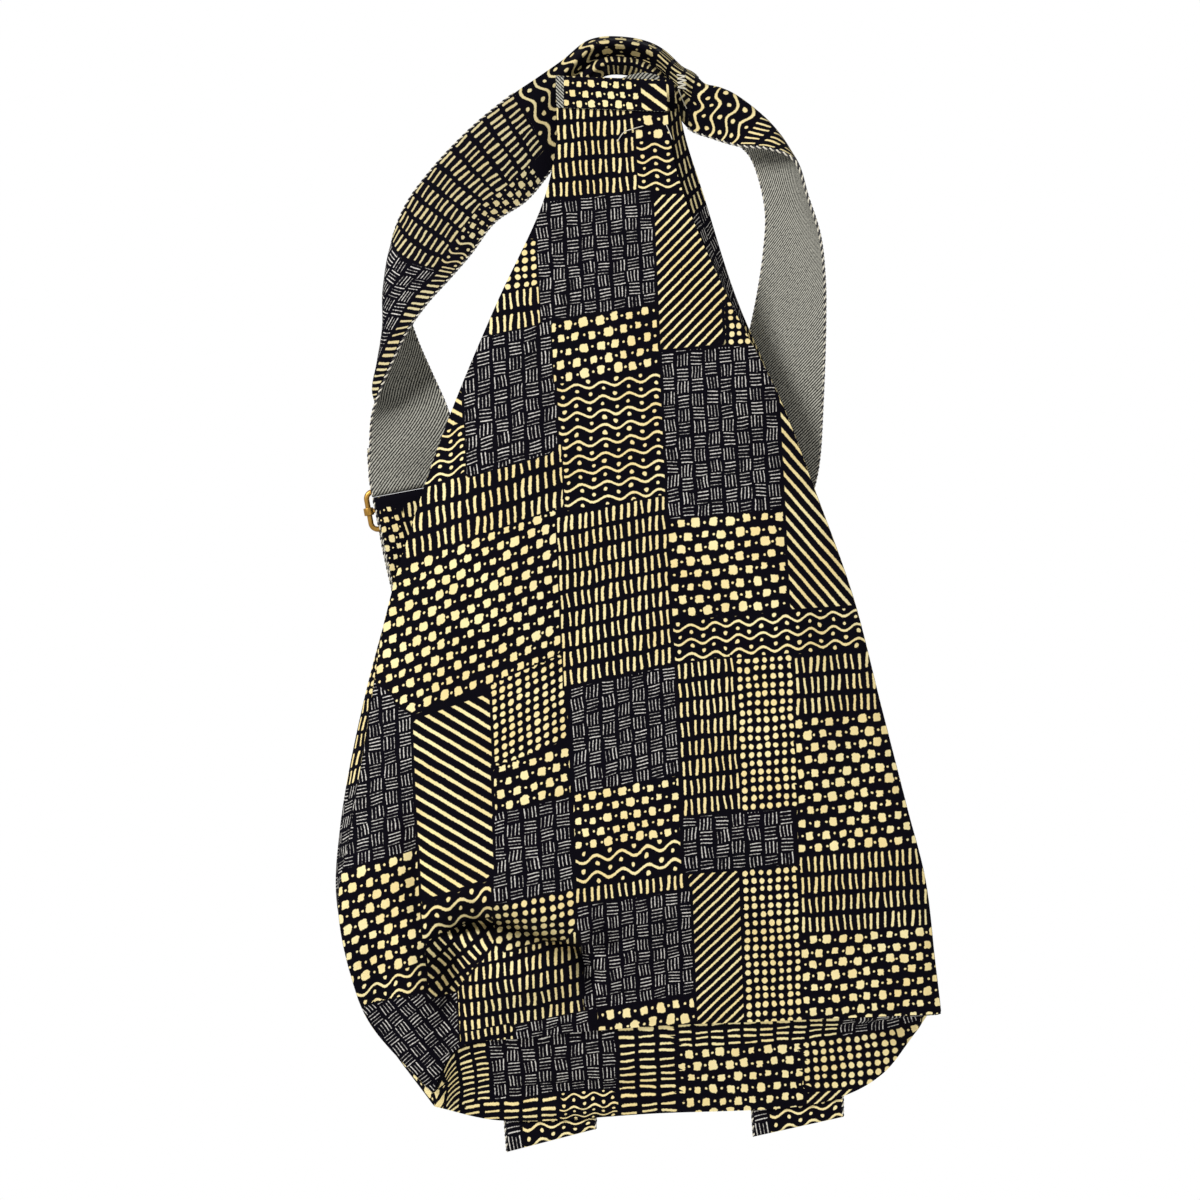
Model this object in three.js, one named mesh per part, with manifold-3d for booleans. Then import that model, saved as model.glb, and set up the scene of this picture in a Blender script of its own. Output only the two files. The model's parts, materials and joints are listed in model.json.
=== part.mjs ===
// Teardrop cloth backpack of printed denim, hanging empty by the loop at its neck.
// Millimetres. X runs to the right seen from the front, Y to the back and Z up.
// The origin is the underside of the hanging loop, where the bag is carried.
import * as THREE from "three";
import { mergeVertices } from "three/addons/utils/BufferGeometryUtils.js";
import Module from "manifold-3d";

const wasm = await Module();
wasm.setup();

// Cloth
const clothThickness = 1.2;
const sewnGap = 0.35;

// Body of the bag, measured down from the hanging point
const neckDrop = 7;
const neckHalf = 30;
const neckShift = 3;
const neckLength = 63;
const neckFlare = 8.5;
const mouthLength = 223;
const mouthHalf = 126.5;
const slopeBow = 6;
const rightHollow = 4.5;
const hipLength = 155;
const hipHalf = 158.5;
const hipShift = 5;
const skirtLength = 74;
const skirtHalf = 160;
const leftPull = 15;
const baseDroop = 50;
const cornerSag = 33;
const cornerReach = 29;
const roundCorner = 46;

// Depth of the bag, front to back
const neckDepth = 12;
const hipDepth = 34;
const baseDepth = 20;
const hipLeanBack = 5;
const baseLeanBack = 1;
const bellySwell = 8;
const pleatDepth = 12;
const backLean = 9;
const neckTurn = 11;
const mouthInset = 3;

// Sag fold at the lower left of the front panel
const foldDepth = 11;
const foldWidth = 14;
const foldStart = new THREE.Vector2(-142, -440);
const foldEnd = new THREE.Vector2(-4, -486);
const pouchSwell = 9;
const pouchSpread = new THREE.Vector2(42, 18);
const creaseDepth = 7;
const creaseWidth = 12;
const creaseHeight = 40;

// Neck band
const bandFront = 15.5;
const bandBack = 9;

// Hanging loop, a strap bunched into an arch
const loopHeight = 22;
const loopDepth = 15;
const loopEndThickness = 3;
const loopSpan = 14;
const loopOverhang = 8;
const loopLeftFall = 17;
const loopRightFall = 6;

// Straps: a route is the strap's middle line between the loop and the slider, in shares of how far
// the strap reaches out, how far it stands forward and how far down its slider hangs
const strapWidth = 50;
const tackWidth = 34;
const twistCurl = 2.5;
const leftTwist = { start: 0.36, end: 0.92, spread: 0.17 };
const rightTwist = { start: -0.12, end: 0.72, spread: 0.3 };
const leftReach = 127;
const leftForward = 15;
const leftRoute = [
  [0.496, 0.6, 0.212],
  [0.701, 0.867, 0.333],
  [0.89, 1, 0.476],
  [1, 0.933, 0.589],
  [0.921, 0.6, 0.727],
  [0.89, 0.2, 0.831],
];
const rightReach = 103;
const rightForward = 11;
const rightRoute = [
  [0.621, 0.455, 0.095],
  [0.796, 0.818, 0.137],
  [0.932, 1, 0.195],
  [1, 0.818, 0.29],
  [0.981, 0.545, 0.39],
  [0.913, 0.273, 0.515],
  [0.816, 0.182, 0.725],
];

// Sliders
const wireRadius = 1.5;
const barRadius = 1.3;
const sliderHeight = 24;
const eyeletWall = 1;
const eyeletHeight = 4.2;
const eyeletPlay = 0.25;
const strapPlay = 1.2;
const strapTurnBack = 24;
const sliderSetback = 9.2;
const leftSliderPlace = { x: -112, z: -231, tilt: -8 };
const rightSliderPlace = { x: 77, z: -262, tilt: -1 };

// Lower straps
const tabLength = 8;
const tabFoldRadius = 1.7;
const leftTab = { x: -55, tilt: 12 };
const rightTab = { x: 81, tilt: 10 };
const tailLength = 88;

// Fineness of the meshes
const frontRows = 34;
const frontColumns = 22;
const backRows = 20;
const backColumns = 12;
const gussetRows = 42;
const gussetColumns = 6;
const bandColumns = 8;
const loopSteps = 18;
const loopSides = 14;
const strapSteps = 28;
const shoulderColumns = 6;
const lowerColumns = 4;
const riseSteps = 12;
const turnSteps = 6;
const wireSides = 8;
const eyeletSides = 14;

const halfCloth = clothThickness / 2;
const layerStep = clothThickness + sewnGap;
const neckEndDrop = neckDrop + neckLength;
const mouthDrop = neckEndDrop + mouthLength;
const hipDrop = mouthDrop + hipLength;
const frontDrop = hipDrop + skirtLength;
const backDrop = frontDrop + baseDroop;
const neckBackY = -(loopDepth / 2 + sewnGap + halfCloth);
const neckFrontY = neckBackY - neckDepth;
const hipBackY = neckBackY + hipLeanBack;
const hipFrontY = hipBackY - hipDepth;
const baseBackY = neckBackY + baseLeanBack;
const baseFrontY = baseBackY - baseDepth;
const sliderY = neckBackY + sliderSetback;

const denim = { color: 0x14152a, roughness: 0.92, metalness: 0 };
const brass = { color: 0xa9823f, roughness: 0.35, metalness: 1 };

const backpack = new THREE.Group();
backpack.name = "backpack";

function addMesh(name, geometry, finish, parent = backpack) {
  const mesh = new THREE.Mesh(geometry, new THREE.MeshStandardMaterial(finish));
  mesh.name = name;
  parent.add(mesh);
}

const point = (x, y, z) => new THREE.Vector3(x, y, z);
const { lerp, smoothstep, clamp, degToRad } = THREE.MathUtils;
const bell = (x) => Math.exp(-x * x);

function curveThrough(points) {
  return new THREE.CatmullRomCurve3(points, false, "centripetal");
}

// A closed body from a list of faces, turned so that its faces point out.
function solidFrom(vertices, triangles) {
  let volume = 0;
  for (const [a, b, c] of triangles) {
    volume += vertices[a].dot(vertices[b].clone().cross(vertices[c]));
  }
  const outward = volume > 0 ? triangles : triangles.map(([a, b, c]) => [a, c, b]);
  const geometry = new THREE.BufferGeometry();
  const flat = vertices.flatMap((v) => [v.x, v.y, v.z]);
  geometry.setAttribute("position", new THREE.Float32BufferAttribute(flat, 3));
  geometry.setIndex(outward.flat());
  geometry.computeVertexNormals();
  return geometry;
}

function gridOf(rows, columns, pointAt) {
  const grid = [];
  for (let i = 0; i <= rows; i++) {
    const row = [];
    for (let j = 0; j <= columns; j++) row.push(pointAt(j / columns, i / rows));
    grid.push(row);
  }
  return grid;
}

// Unit normals of a grid of points, from the neighbours on both sides.
function gridNormals(grid) {
  const lastRow = grid.length - 1;
  const lastColumn = grid[0].length - 1;
  return grid.map((row, i) =>
    row.map((_, j) => {
      const along = grid[Math.min(i + 1, lastRow)][j].clone();
      along.sub(grid[Math.max(i - 1, 0)][j]);
      const across = row[Math.min(j + 1, lastColumn)].clone();
      across.sub(row[Math.max(j - 1, 0)]);
      return across.cross(along).normalize();
    }),
  );
}

// A cloth layer: a grid of mid-surface points given the thickness of the cloth.
function clothFrom(grid) {
  const normals = gridNormals(grid);
  const rows = grid.length;
  const columns = grid[0].length;
  const vertices = [];
  for (const offset of [halfCloth, -halfCloth]) {
    grid.forEach((row, i) =>
      row.forEach((p, j) => {
        vertices.push(p.clone().addScaledVector(normals[i][j], offset));
      }),
    );
  }
  const top = (i, j) => i * columns + j;
  const under = (i, j) => rows * columns + top(i, j);
  const triangles = [];
  const quad = (a, b, c, d) => triangles.push([a, b, c], [a, c, d]);
  for (let i = 0; i < rows - 1; i++) {
    for (let j = 0; j < columns - 1; j++) {
      quad(top(i, j), top(i, j + 1), top(i + 1, j + 1), top(i + 1, j));
      quad(under(i, j), under(i + 1, j), under(i + 1, j + 1), under(i, j + 1));
    }
    const last = columns - 1;
    quad(top(i, 0), top(i + 1, 0), under(i + 1, 0), under(i, 0));
    quad(top(i, last), under(i, last), under(i + 1, last), top(i + 1, last));
  }
  for (let j = 0; j < columns - 1; j++) {
    const last = rows - 1;
    quad(top(0, j), under(0, j), under(0, j + 1), top(0, j + 1));
    quad(top(last, j), top(last, j + 1), under(last, j + 1), under(last, j));
  }
  return solidFrom(vertices, triangles);
}

// A ring of points about a centre, in the plane of two directions.
function ringOf(sides, centre, wide, deep) {
  const ring = [];
  for (let k = 0; k < sides; k++) {
    const angle = (2 * Math.PI * k) / sides;
    const p = centre.clone().addScaledVector(wide, Math.cos(angle));
    ring.push(p.addScaledVector(deep, Math.sin(angle)));
  }
  return ring;
}

// A body lofted through rings of points, closed on itself or capped at both ends.
function loft(rings, closed = false) {
  const sides = rings[0].length;
  const triangles = [];
  const spans = closed ? rings.length : rings.length - 1;
  for (let i = 0; i < spans; i++) {
    const next = (i + 1) % rings.length;
    for (let j = 0; j < sides; j++) {
      const k = (j + 1) % sides;
      const [a, b] = [i * sides + j, i * sides + k];
      const [c, d] = [next * sides + k, next * sides + j];
      triangles.push([a, b, c], [a, c, d]);
    }
  }
  if (!closed) {
    const lastRing = (rings.length - 1) * sides;
    for (let j = 1; j < sides - 1; j++) {
      triangles.push([0, j + 1, j], [lastRing, lastRing + j, lastRing + j + 1]);
    }
  }
  return solidFrom(rings.flat(), triangles);
}

// The edges of the two panels, station by station from the neck to the base corner.
const partWays = (drop, length, shares) => shares.map((share) => drop + length * share);
const upperStations = [
  ...partWays(neckDrop, neckLength, [0, 0.5]),
  ...partWays(neckEndDrop, mouthLength, [0, 0.25, 0.5, 0.75]),
];
const stationDrops = [
  ...upperStations,
  ...partWays(mouthDrop, hipLength, [0, 0.4, 0.75]),
  ...partWays(hipDrop, skirtLength, [0, 0.6, 0.9]),
];
const mouthShare = upperStations.length / stationDrops.length;

function halfWidthAt(drop) {
  if (drop < neckEndDrop) {
    const t = (drop - neckDrop) / neckLength;
    return neckHalf + neckFlare * t ** 3;
  }
  if (drop < mouthDrop) {
    const t = (drop - neckEndDrop) / mouthLength;
    const straight = lerp(neckHalf + neckFlare, mouthHalf, t);
    return straight + slopeBow * Math.sin(Math.PI * t);
  }
  if (drop < hipDrop) {
    return lerp(mouthHalf, hipHalf, (drop - mouthDrop) / hipLength);
  }
  return lerp(hipHalf, skirtHalf, (drop - hipDrop) / skirtLength);
}

function edgeX(side, drop) {
  const shift = lerp(neckShift, -hipShift, smoothstep(drop, neckDrop, mouthDrop));
  const low = clamp((drop - hipDrop) / skirtLength, 0, 1);
  const hollow = rightHollow * bell((drop - neckEndDrop - mouthLength / 5) / (mouthLength / 7));
  const drawn = side < 0 ? leftPull * low * low : hipShift * low - hollow;
  return shift + side * halfWidthAt(drop) + drawn;
}

function depthAt(drop, atNeck, atHip, atBase) {
  const upper = smoothstep(drop, neckEndDrop, hipDrop);
  const lower = smoothstep(drop, hipDrop, frontDrop);
  return lerp(lerp(atNeck, atHip, upper), atBase, lower);
}

const frontCorners = {
  left: point(edgeX(-1, frontDrop) + cornerReach, baseFrontY, -frontDrop - cornerSag),
  right: point(edgeX(1, frontDrop), baseFrontY, -frontDrop),
};
const backCorners = {
  left: point(frontCorners.left.x, baseBackY, -backDrop + roundCorner / 5),
  right: point(frontCorners.right.x - roundCorner / 4, baseBackY, -frontDrop - baseDroop / 5),
};

function frontEdge(side, corner) {
  const edge = stationDrops.map((drop) => {
    const y = depthAt(drop, neckFrontY, hipFrontY, baseFrontY);
    return point(edgeX(side, drop), y, -drop);
  });
  return [...edge, corner];
}

function backEdge(side, corner) {
  const edge = stationDrops.map((drop) => {
    const y = depthAt(drop, neckBackY, hipBackY, baseBackY);
    const lean = backLean * bell((drop - mouthDrop - hipLength / 2) / (hipLength / 2));
    const turn = neckTurn * bell((drop - neckEndDrop) / neckLength);
    const inset = drop < mouthDrop ? mouthInset : 0;
    const moved = (side < 0 ? inset : turn) - lean;
    return point(edgeX(side, drop) + moved, y, -drop);
  });
  return [...edge, corner];
}

function panel(leftPoints, rightPoints, bottomMiddle) {
  return {
    left: curveThrough(leftPoints),
    right: curveThrough(rightPoints),
    top: new THREE.LineCurve3(leftPoints[0], rightPoints[0]),
    bottom: curveThrough([leftPoints.at(-1), ...bottomMiddle, rightPoints.at(-1)]),
  };
}

// A surface spanned between the four edges of a panel.
function spanned(edges, u, v) {
  const [left, right] = [edges.left.getPoint(v), edges.right.getPoint(v)];
  const [top, bottom] = [edges.top.getPoint(u), edges.bottom.getPoint(u)];
  const corners = edges.top.getPoint(0).multiplyScalar((1 - u) * (1 - v));
  corners.addScaledVector(edges.top.getPoint(1), u * (1 - v));
  corners.addScaledVector(edges.bottom.getPoint(0), (1 - u) * v);
  corners.addScaledVector(edges.bottom.getPoint(1), u * v);
  const p = left.multiplyScalar(1 - u).addScaledVector(right, u);
  p.addScaledVector(top, 1 - v).addScaledVector(bottom, v);
  return p.sub(corners);
}

const baseMiddle = skirtHalf * 0.4;
const creaseX = frontCorners.left.x + cornerReach / 2;
const frontPanel = panel(frontEdge(-1, frontCorners.left), frontEdge(1, frontCorners.right), [
  point(creaseX, baseFrontY, -frontDrop - cornerSag / 4),
  point(-baseMiddle, baseFrontY, -frontDrop - cornerSag / 10),
  point(0, baseFrontY, -frontDrop),
  point(baseMiddle, baseFrontY, -frontDrop),
]);

const backLeft = backEdge(-1, backCorners.left);
const backRight = backEdge(1, backCorners.right);
const backPanel = panel(backLeft, backRight, [
  point(-baseMiddle * 1.3, baseBackY, -backDrop),
  point(0, baseBackY, -backDrop),
  point(baseMiddle * 1.5, baseBackY, -backDrop + roundCorner / 20),
  point(skirtHalf - roundCorner / 1.4, baseBackY, -backDrop + roundCorner / 3),
]);

// The sag fold: a lip above the fold line, a valley under it and a pouch below.
const foldLine = foldEnd.clone().sub(foldStart);
const pouchCentre = new THREE.Vector2((foldStart.x + foldEnd.x) / 2, (foldEnd.y - frontDrop) / 2);

function sagFold(p) {
  const offset = new THREE.Vector2(p.x, p.z).sub(foldStart);
  const along = clamp(offset.dot(foldLine) / foldLine.lengthSq(), 0, 1);
  const above = foldLine.cross(offset) / foldLine.length();
  const lip = bell((above - 2 * foldWidth) / (2 * foldWidth)) / 2;
  const valley = bell((above + foldWidth / 2) / foldWidth);
  const pouchX = bell((p.x - pouchCentre.x) / pouchSpread.x);
  const pouchZ = bell((p.z - pouchCentre.y) / pouchSpread.y);
  const rise = smoothstep(-p.z, frontDrop - creaseHeight, frontDrop);
  const crease = creaseDepth * rise * bell((p.x - creaseX) / creaseWidth);
  const lipped = foldDepth * Math.sin(Math.PI * along) * (lip - valley);
  return lipped + pouchSwell * pouchX * pouchZ - crease;
}

// How far the front panel stands forward of the surface spanned by its edges.
const seamFade = 0.12;

function frontSwell(p, u, v) {
  const across = 4 * u * (1 - u);
  const rise = smoothstep(-p.z, neckEndDrop, mouthDrop + hipLength / 2);
  const fall = 1 - smoothstep(-p.z, hipDrop, frontDrop);
  const offSeam = smoothstep(across, 0, 3 * seamFade) * smoothstep(1 - v, 0, seamFade);
  return bellySwell * across * rise * fall + sagFold(p) * offSeam;
}

// Rows close up towards the base and columns towards the left, where the fold is.
const towardsBase = (v) => 1 - (1 - v) ** 1.4;
const towardsLeft = (u) => u ** 1.2;

function frontPoint(j, i) {
  const [u, v] = [towardsLeft(j), towardsBase(i)];
  const p = spanned(frontPanel, u, v);
  p.y -= frontSwell(p, u, v);
  return p;
}

addMesh("front_panel", clothFrom(gridOf(frontRows, frontColumns, frontPoint)), denim);

const backPoint = (u, v) => spanned(backPanel, u, v);
addMesh("back_panel", clothFrom(gridOf(backRows, backColumns, backPoint)), denim);

// The gusset joins the two panel edges from the mouth's lower end, round the base, to the neck.
const gussetTop = (bandFront + layerStep) / (neckLength / 2) / stationDrops.length;
const leftEnd = 0.28;
const baseEnd = 0.6;

function seamAt(edges, s) {
  if (s <= leftEnd) return edges.left.getPoint(lerp(mouthShare, 1, s / leftEnd));
  if (s <= baseEnd) return edges.bottom.getPoint((s - leftEnd) / (baseEnd - leftEnd));
  return edges.right.getPoint(lerp(1, gussetTop, (s - baseEnd) / (1 - baseEnd)));
}

const bagCentre = point(0, 0, -mouthDrop);

function gussetPoint(w, s) {
  const front = seamAt(frontPanel, s).add(point(0, layerStep, 0));
  const back = seamAt(backPanel, s).sub(point(0, layerStep, 0));
  const p = front.lerp(back, w);
  const inward = bagCentre.clone().sub(p).setY(0).normalize();
  const onSides = 1 - bell((2 * s - leftEnd - baseEnd) / (baseEnd - leftEnd));
  const tuck = pleatDepth * onSides * Math.sin(Math.PI * w) ** 2;
  return p.addScaledVector(inward, tuck);
}

addMesh("gusset", clothFrom(gridOf(gussetRows, gussetColumns, gussetPoint)), denim);

// The neck band is folded over the top edge of the front panel.
function bandProfile() {
  const profile = [point(0, -layerStep, -bandFront), point(0, -layerStep, -bandFront / 2)];
  for (let i = 0; i <= turnSteps; i++) {
    const angle = Math.PI * (1 - i / turnSteps);
    profile.push(point(0, layerStep * Math.cos(angle), layerStep * Math.sin(angle)));
  }
  profile.push(point(0, layerStep, -bandBack / 2), point(0, layerStep, -bandBack));
  return profile;
}

const profile = bandProfile();

function bandPoint(u, s) {
  const offset = profile[Math.round(s * (profile.length - 1))];
  const v = Math.max(-offset.z / (neckLength / 2), 0) / stationDrops.length;
  const p = spanned(frontPanel, u, v);
  return point(p.x, p.y + offset.y, -neckDrop + offset.z);
}

addMesh("neck_band", clothFrom(gridOf(profile.length - 1, bandColumns, bandPoint)), denim);

// The hanging loop: a strap bunched into a round arch, flat again at both ends.
const loopLeft = point(backLeft[0].x - loopOverhang, 0, -neckDrop - loopLeftFall);
const loopRight = point(backRight[0].x + loopOverhang, 0, -neckDrop - loopRightFall);
const loopTop = loopHeight / 2;
const loopPath = curveThrough([
  loopLeft,
  point(loopLeft.x * 0.75, 0, loopLeft.z * 0.4),
  point(-loopSpan, 0, loopTop * 0.55),
  point(0, 0, loopTop),
  point(loopSpan, 0, loopTop),
  point(loopRight.x * 0.68, 0, loopTop * 0.2),
  loopRight,
]);

function loopRing(t) {
  const centre = loopPath.getPointAt(t);
  const along = loopPath.getTangentAt(t);
  const wide = point(0, 1, 0).cross(along).normalize();
  const deep = along.clone().cross(wide).normalize();
  const bunched = Math.sqrt(Math.sin(Math.PI * t));
  const endWidth = lerp(strapWidth - loopEndThickness, tackWidth, t);
  const halfWidth = lerp(endWidth, loopHeight, bunched) / 2;
  const halfDepth = lerp(loopEndThickness, loopDepth, bunched) / 2;
  centre.y = halfDepth - loopDepth / 2;
  return ringOf(loopSides, centre, wide.multiplyScalar(halfWidth), deep.multiplyScalar(halfDepth));
}

const loopRings = [];
for (let i = 0; i <= loopSteps; i++) loopRings.push(loopRing(i / loopSteps));
addMesh("hanging_loop", loft(loopRings), denim);

// A strap: a ribbon along a path, with a direction across and a curl at each step.
const flatCurl = 0.01;

function strapGrid(steps, columns) {
  return steps.map(({ centre, across, normal, curl, width }) => {
    const row = [];
    for (let j = 0; j <= columns; j++) {
      const t = j / columns - 0.5;
      const p = centre.clone();
      if (curl < flatCurl) {
        p.addScaledVector(across, width * t);
      } else {
        const radius = width / curl;
        p.addScaledVector(across, radius * Math.sin(curl * t));
        p.addScaledVector(normal, radius * (Math.cos(curl * t) - 1));
      }
      row.push(p);
    }
    return row;
  });
}

// The hanging part of a shoulder strap: it makes half a turn about its path, curling as it turns.
function twistedSteps(path, side, twist, startWidth) {
  const steps = [];
  const front = point(0, -1, 0);
  const middle = (twist.start + twist.end) / 2;
  for (let i = 0; i <= strapSteps; i++) {
    const t = i / strapSteps;
    const centre = path.getPointAt(t);
    const along = path.getTangentAt(t);
    const flatAcross = along.clone().cross(front).normalize();
    const flatNormal = flatAcross.clone().cross(along).normalize();
    const roll = -side * Math.PI * smoothstep(t, twist.start, twist.end);
    const across = flatAcross.multiplyScalar(Math.cos(roll));
    across.addScaledVector(flatNormal, -Math.sin(roll));
    const normal = across.clone().cross(along).normalize();
    const curl = twistCurl * bell((t - middle) / twist.spread);
    const width = lerp(startWidth, strapWidth, smoothstep(t, 0, middle));
    steps.push({ centre, across, normal, curl, width });
  }
  return steps;
}

// Ribbon steps along a list of points, flat across a given direction.
function flatSteps(points, acrossAt) {
  return points.map((centre, i) => {
    const across = acrossAt(i / (points.length - 1));
    return { centre, across, curl: 0, width: strapWidth };
  });
}

// Wire slider, in its own frame: X along the bars, Z up the strap.
const barHalf = sliderHeight / 2 - wireRadius;
const wireTurn = wireRadius + sewnGap + halfCloth;
const barTurn = barRadius + sewnGap + halfCloth;
const eyeletBore = wireRadius + eyeletPlay;
const eyeletOuter = eyeletBore + eyeletWall;
const sliderCorner = strapPlay + eyeletOuter;
const sideWireX = strapWidth / 2 + sliderCorner;

function wireFrame() {
  const rings = [];
  [[1, 1], [-1, 1], [-1, -1], [1, -1]].forEach(([sx, sz], quarter) => {
    for (let i = 0; i <= turnSteps; i++) {
      const angle = (Math.PI / 2) * (quarter + i / turnSteps);
      const out = point(Math.cos(angle), 0, Math.sin(angle));
      const centre = point(sx * (sideWireX - sliderCorner), 0, sz * (barHalf - sliderCorner));
      centre.addScaledVector(out, sliderCorner);
      rings.push(ringOf(wireSides, centre, out.multiplyScalar(wireRadius), point(0, wireRadius, 0)));
    }
  });
  return loft(rings, true);
}

function toManifold(geometry) {
  const bare = geometry.clone();
  bare.deleteAttribute("normal");
  bare.deleteAttribute("uv");
  const merged = mergeVertices(bare);
  return new wasm.Manifold(
    new wasm.Mesh({
      numProp: 3,
      vertProperties: new Float32Array(merged.attributes.position.array),
      triVerts: new Uint32Array(merged.index.array),
    }),
  );
}

function fromManifold(solid) {
  const { vertProperties, triVerts } = solid.getMesh();
  const geometry = new THREE.BufferGeometry();
  geometry.setAttribute("position", new THREE.BufferAttribute(vertProperties, 3));
  geometry.setIndex(new THREE.BufferAttribute(triVerts, 1));
  geometry.computeVertexNormals();
  return geometry;
}

function eyeletBar() {
  const half = eyeletHeight / 2;
  const lip = eyeletWall / 2;
  const section = [
    [eyeletBore, -half],
    [eyeletOuter - lip, -half],
    [eyeletOuter, -half + lip],
    [eyeletOuter, half - lip],
    [eyeletOuter - lip, half],
    [eyeletBore, half],
    [eyeletBore, -half],
  ].map(([x, y]) => new THREE.Vector2(x, y));
  const reach = sideWireX - eyeletBore - eyeletWall / 2;
  const rod = new THREE.CylinderGeometry(barRadius, barRadius, 2 * reach, wireSides);
  rod.rotateZ(Math.PI / 2);
  let bar = toManifold(rod);
  for (const side of [-1, 1]) {
    const eyelet = new THREE.LatheGeometry(section, eyeletSides);
    eyelet.rotateX(Math.PI / 2);
    eyelet.translate(side * sideWireX, 0, 0);
    bar = bar.add(toManifold(eyelet));
  }
  return fromManifold(bar);
}

function sliderAt(name, place) {
  const slider = new THREE.Group();
  slider.position.set(place.x, sliderY, place.z);
  slider.rotation.y = degToRad(place.tilt);
  backpack.add(slider);
  addMesh(`${name}_slider_frame`, wireFrame(), brass, slider);
  addMesh(`${name}_slider_bar`, eyeletBar(), brass, slider);
  slider.updateMatrixWorld(true);
  return slider;
}

const leftSlider = sliderAt("left", leftSliderPlace);
const rightSlider = sliderAt("right", rightSliderPlace);
const hangs = {
  left: leftRoute.map(([x, y, z]) => point(-x * leftReach, -y * leftForward, z * leftSliderPlace.z)),
  right: rightRoute.map(([x, y, z]) => point(x * rightReach, -y * rightForward, z * rightSliderPlace.z)),
};
const barsOf = (slider) => point(1, 0, 0).transformDirection(slider.matrixWorld);

// An arc round a bar in the slider's frame, from one face of the strap's way to the other.
function turnRound(z, radius, from, to) {
  const arc = [];
  for (let i = 0; i <= turnSteps; i++) {
    const angle = lerp(from, to, i / turnSteps);
    arc.push(point(0, radius * Math.cos(angle), z + radius * Math.sin(angle)));
  }
  return arc;
}

// Two points that carry on from an end of the loop, the first just clear of it.
const strapTopY = (loopEndThickness - loopDepth) / 2;

function fromLoopEnd(end) {
  const out = loopPath.getTangentAt(end).multiplyScalar(end ? 1 : -1);
  const leave = (reach) => loopPath.getPointAt(end).addScaledVector(out, reach).setY(strapTopY);
  return [leave(2 * sewnGap), leave(3 * loopEndThickness)];
}

// From the loop's end to the slider, under its upper bar and back up behind, where it is sewn.
function shoulderStrap(name, side, loopEnd, twist, startWidth, slider) {
  const toWorld = (p) => p.applyMatrix4(slider.matrixWorld);
  const meet = toWorld(point(0, -wireTurn, barHalf + strapTurnBack * 0.3));
  const path = curveThrough([...fromLoopEnd(loopEnd), ...hangs[name], meet]);
  const hanging = twistedSteps(path, side, twist, startWidth);
  const turned = [
    ...turnRound(barHalf, wireTurn, Math.PI, 2 * Math.PI),
    point(0, wireTurn, barHalf + strapTurnBack * 0.3),
    point(0, layerStep - wireTurn, barHalf + strapTurnBack * 0.75),
    point(0, layerStep - wireTurn, barHalf + strapTurnBack),
  ].map(toWorld);
  const bars = barsOf(slider);
  if (hanging.at(-1).across.dot(bars) < 0) bars.negate();
  const steps = [...hanging, ...flatSteps(turned, () => bars)];
  addMesh(`${name}_shoulder_strap`, clothFrom(strapGrid(steps, shoulderColumns)), denim);
}

shoulderStrap("left", -1, 0, leftTwist, strapWidth, leftSlider);
shoulderStrap("right", 1, 1, rightTwist, tackWidth, rightSlider);

// From the base seam as a tab, folded up behind the back panel, over the loose bar and down as a tail.
function lowerStrap(name, tab, slider) {
  const toWorld = (p) => p.applyMatrix4(slider.matrixWorld);
  const tabTop = -backDrop - layerStep;
  const foldZ = tabTop - tabLength;
  const folded = [point(tab.x, baseBackY, tabTop), point(tab.x, baseBackY, tabTop - tabLength / 2)];
  const arc = turnRound(foldZ, tabFoldRadius, Math.PI, 2 * Math.PI);
  folded.push(...arc.map((p) => p.add(point(tab.x, baseBackY + tabFoldRadius, 0))));
  const behind = hipBackY + halfCloth + sewnGap + layerStep;
  const below = toWorld(point(0, wireTurn, -sliderHeight));
  const rise = curveThrough([
    folded.at(-1),
    point(tab.x, baseBackY + 2 * tabFoldRadius + layerStep, -backDrop + tabLength),
    point(lerp(tab.x, below.x, 0.2), behind, -frontDrop + baseDroop / 2),
    point(lerp(tab.x, below.x, 0.6), behind + sewnGap, -hipDrop + hipLength / 2),
    below,
  ]);
  const over = [
    point(0, wireTurn, -barHalf),
    ...turnRound(0, barTurn, 0, Math.PI),
    point(0, -wireTurn, -barHalf),
    point(0, -wireTurn, -sliderHeight),
    point(0, -barTurn * 0.8, -tailLength / 2),
    point(0, -barTurn * 0.6, -tailLength),
  ].map(toWorld);
  const points = [...folded, ...rise.getSpacedPoints(riseSteps).slice(1), ...over];
  const foldShare = folded.length / points.length;
  const tilt = degToRad(tab.tilt);
  const level = point(1, 0, 0);
  const tilted = point(Math.cos(tilt), 0, Math.sin(tilt));
  const bars = barsOf(slider);
  const acrossAt = (t) => {
    const toFold = smoothstep(t, 0, foldShare / 2);
    const toBars = smoothstep(t, foldShare, 0.6);
    return level.clone().lerp(tilted, toFold).lerp(bars, toBars).normalize();
  };
  addMesh(`${name}_lower_strap`, clothFrom(strapGrid(flatSteps(points, acrossAt), lowerColumns)), denim);
}

lowerStrap("left", leftTab, leftSlider);
lowerStrap("right", rightTab, rightSlider);

export default backpack;
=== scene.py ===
# Looks of the printed denim backpack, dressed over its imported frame.
# Lengths in this script are millimetres, and become metres when a mesh is made.
import json
import math
from collections import namedtuple
from functools import partialmethod

import bpy
import numpy as np
from mathutils import Matrix, Vector


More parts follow.
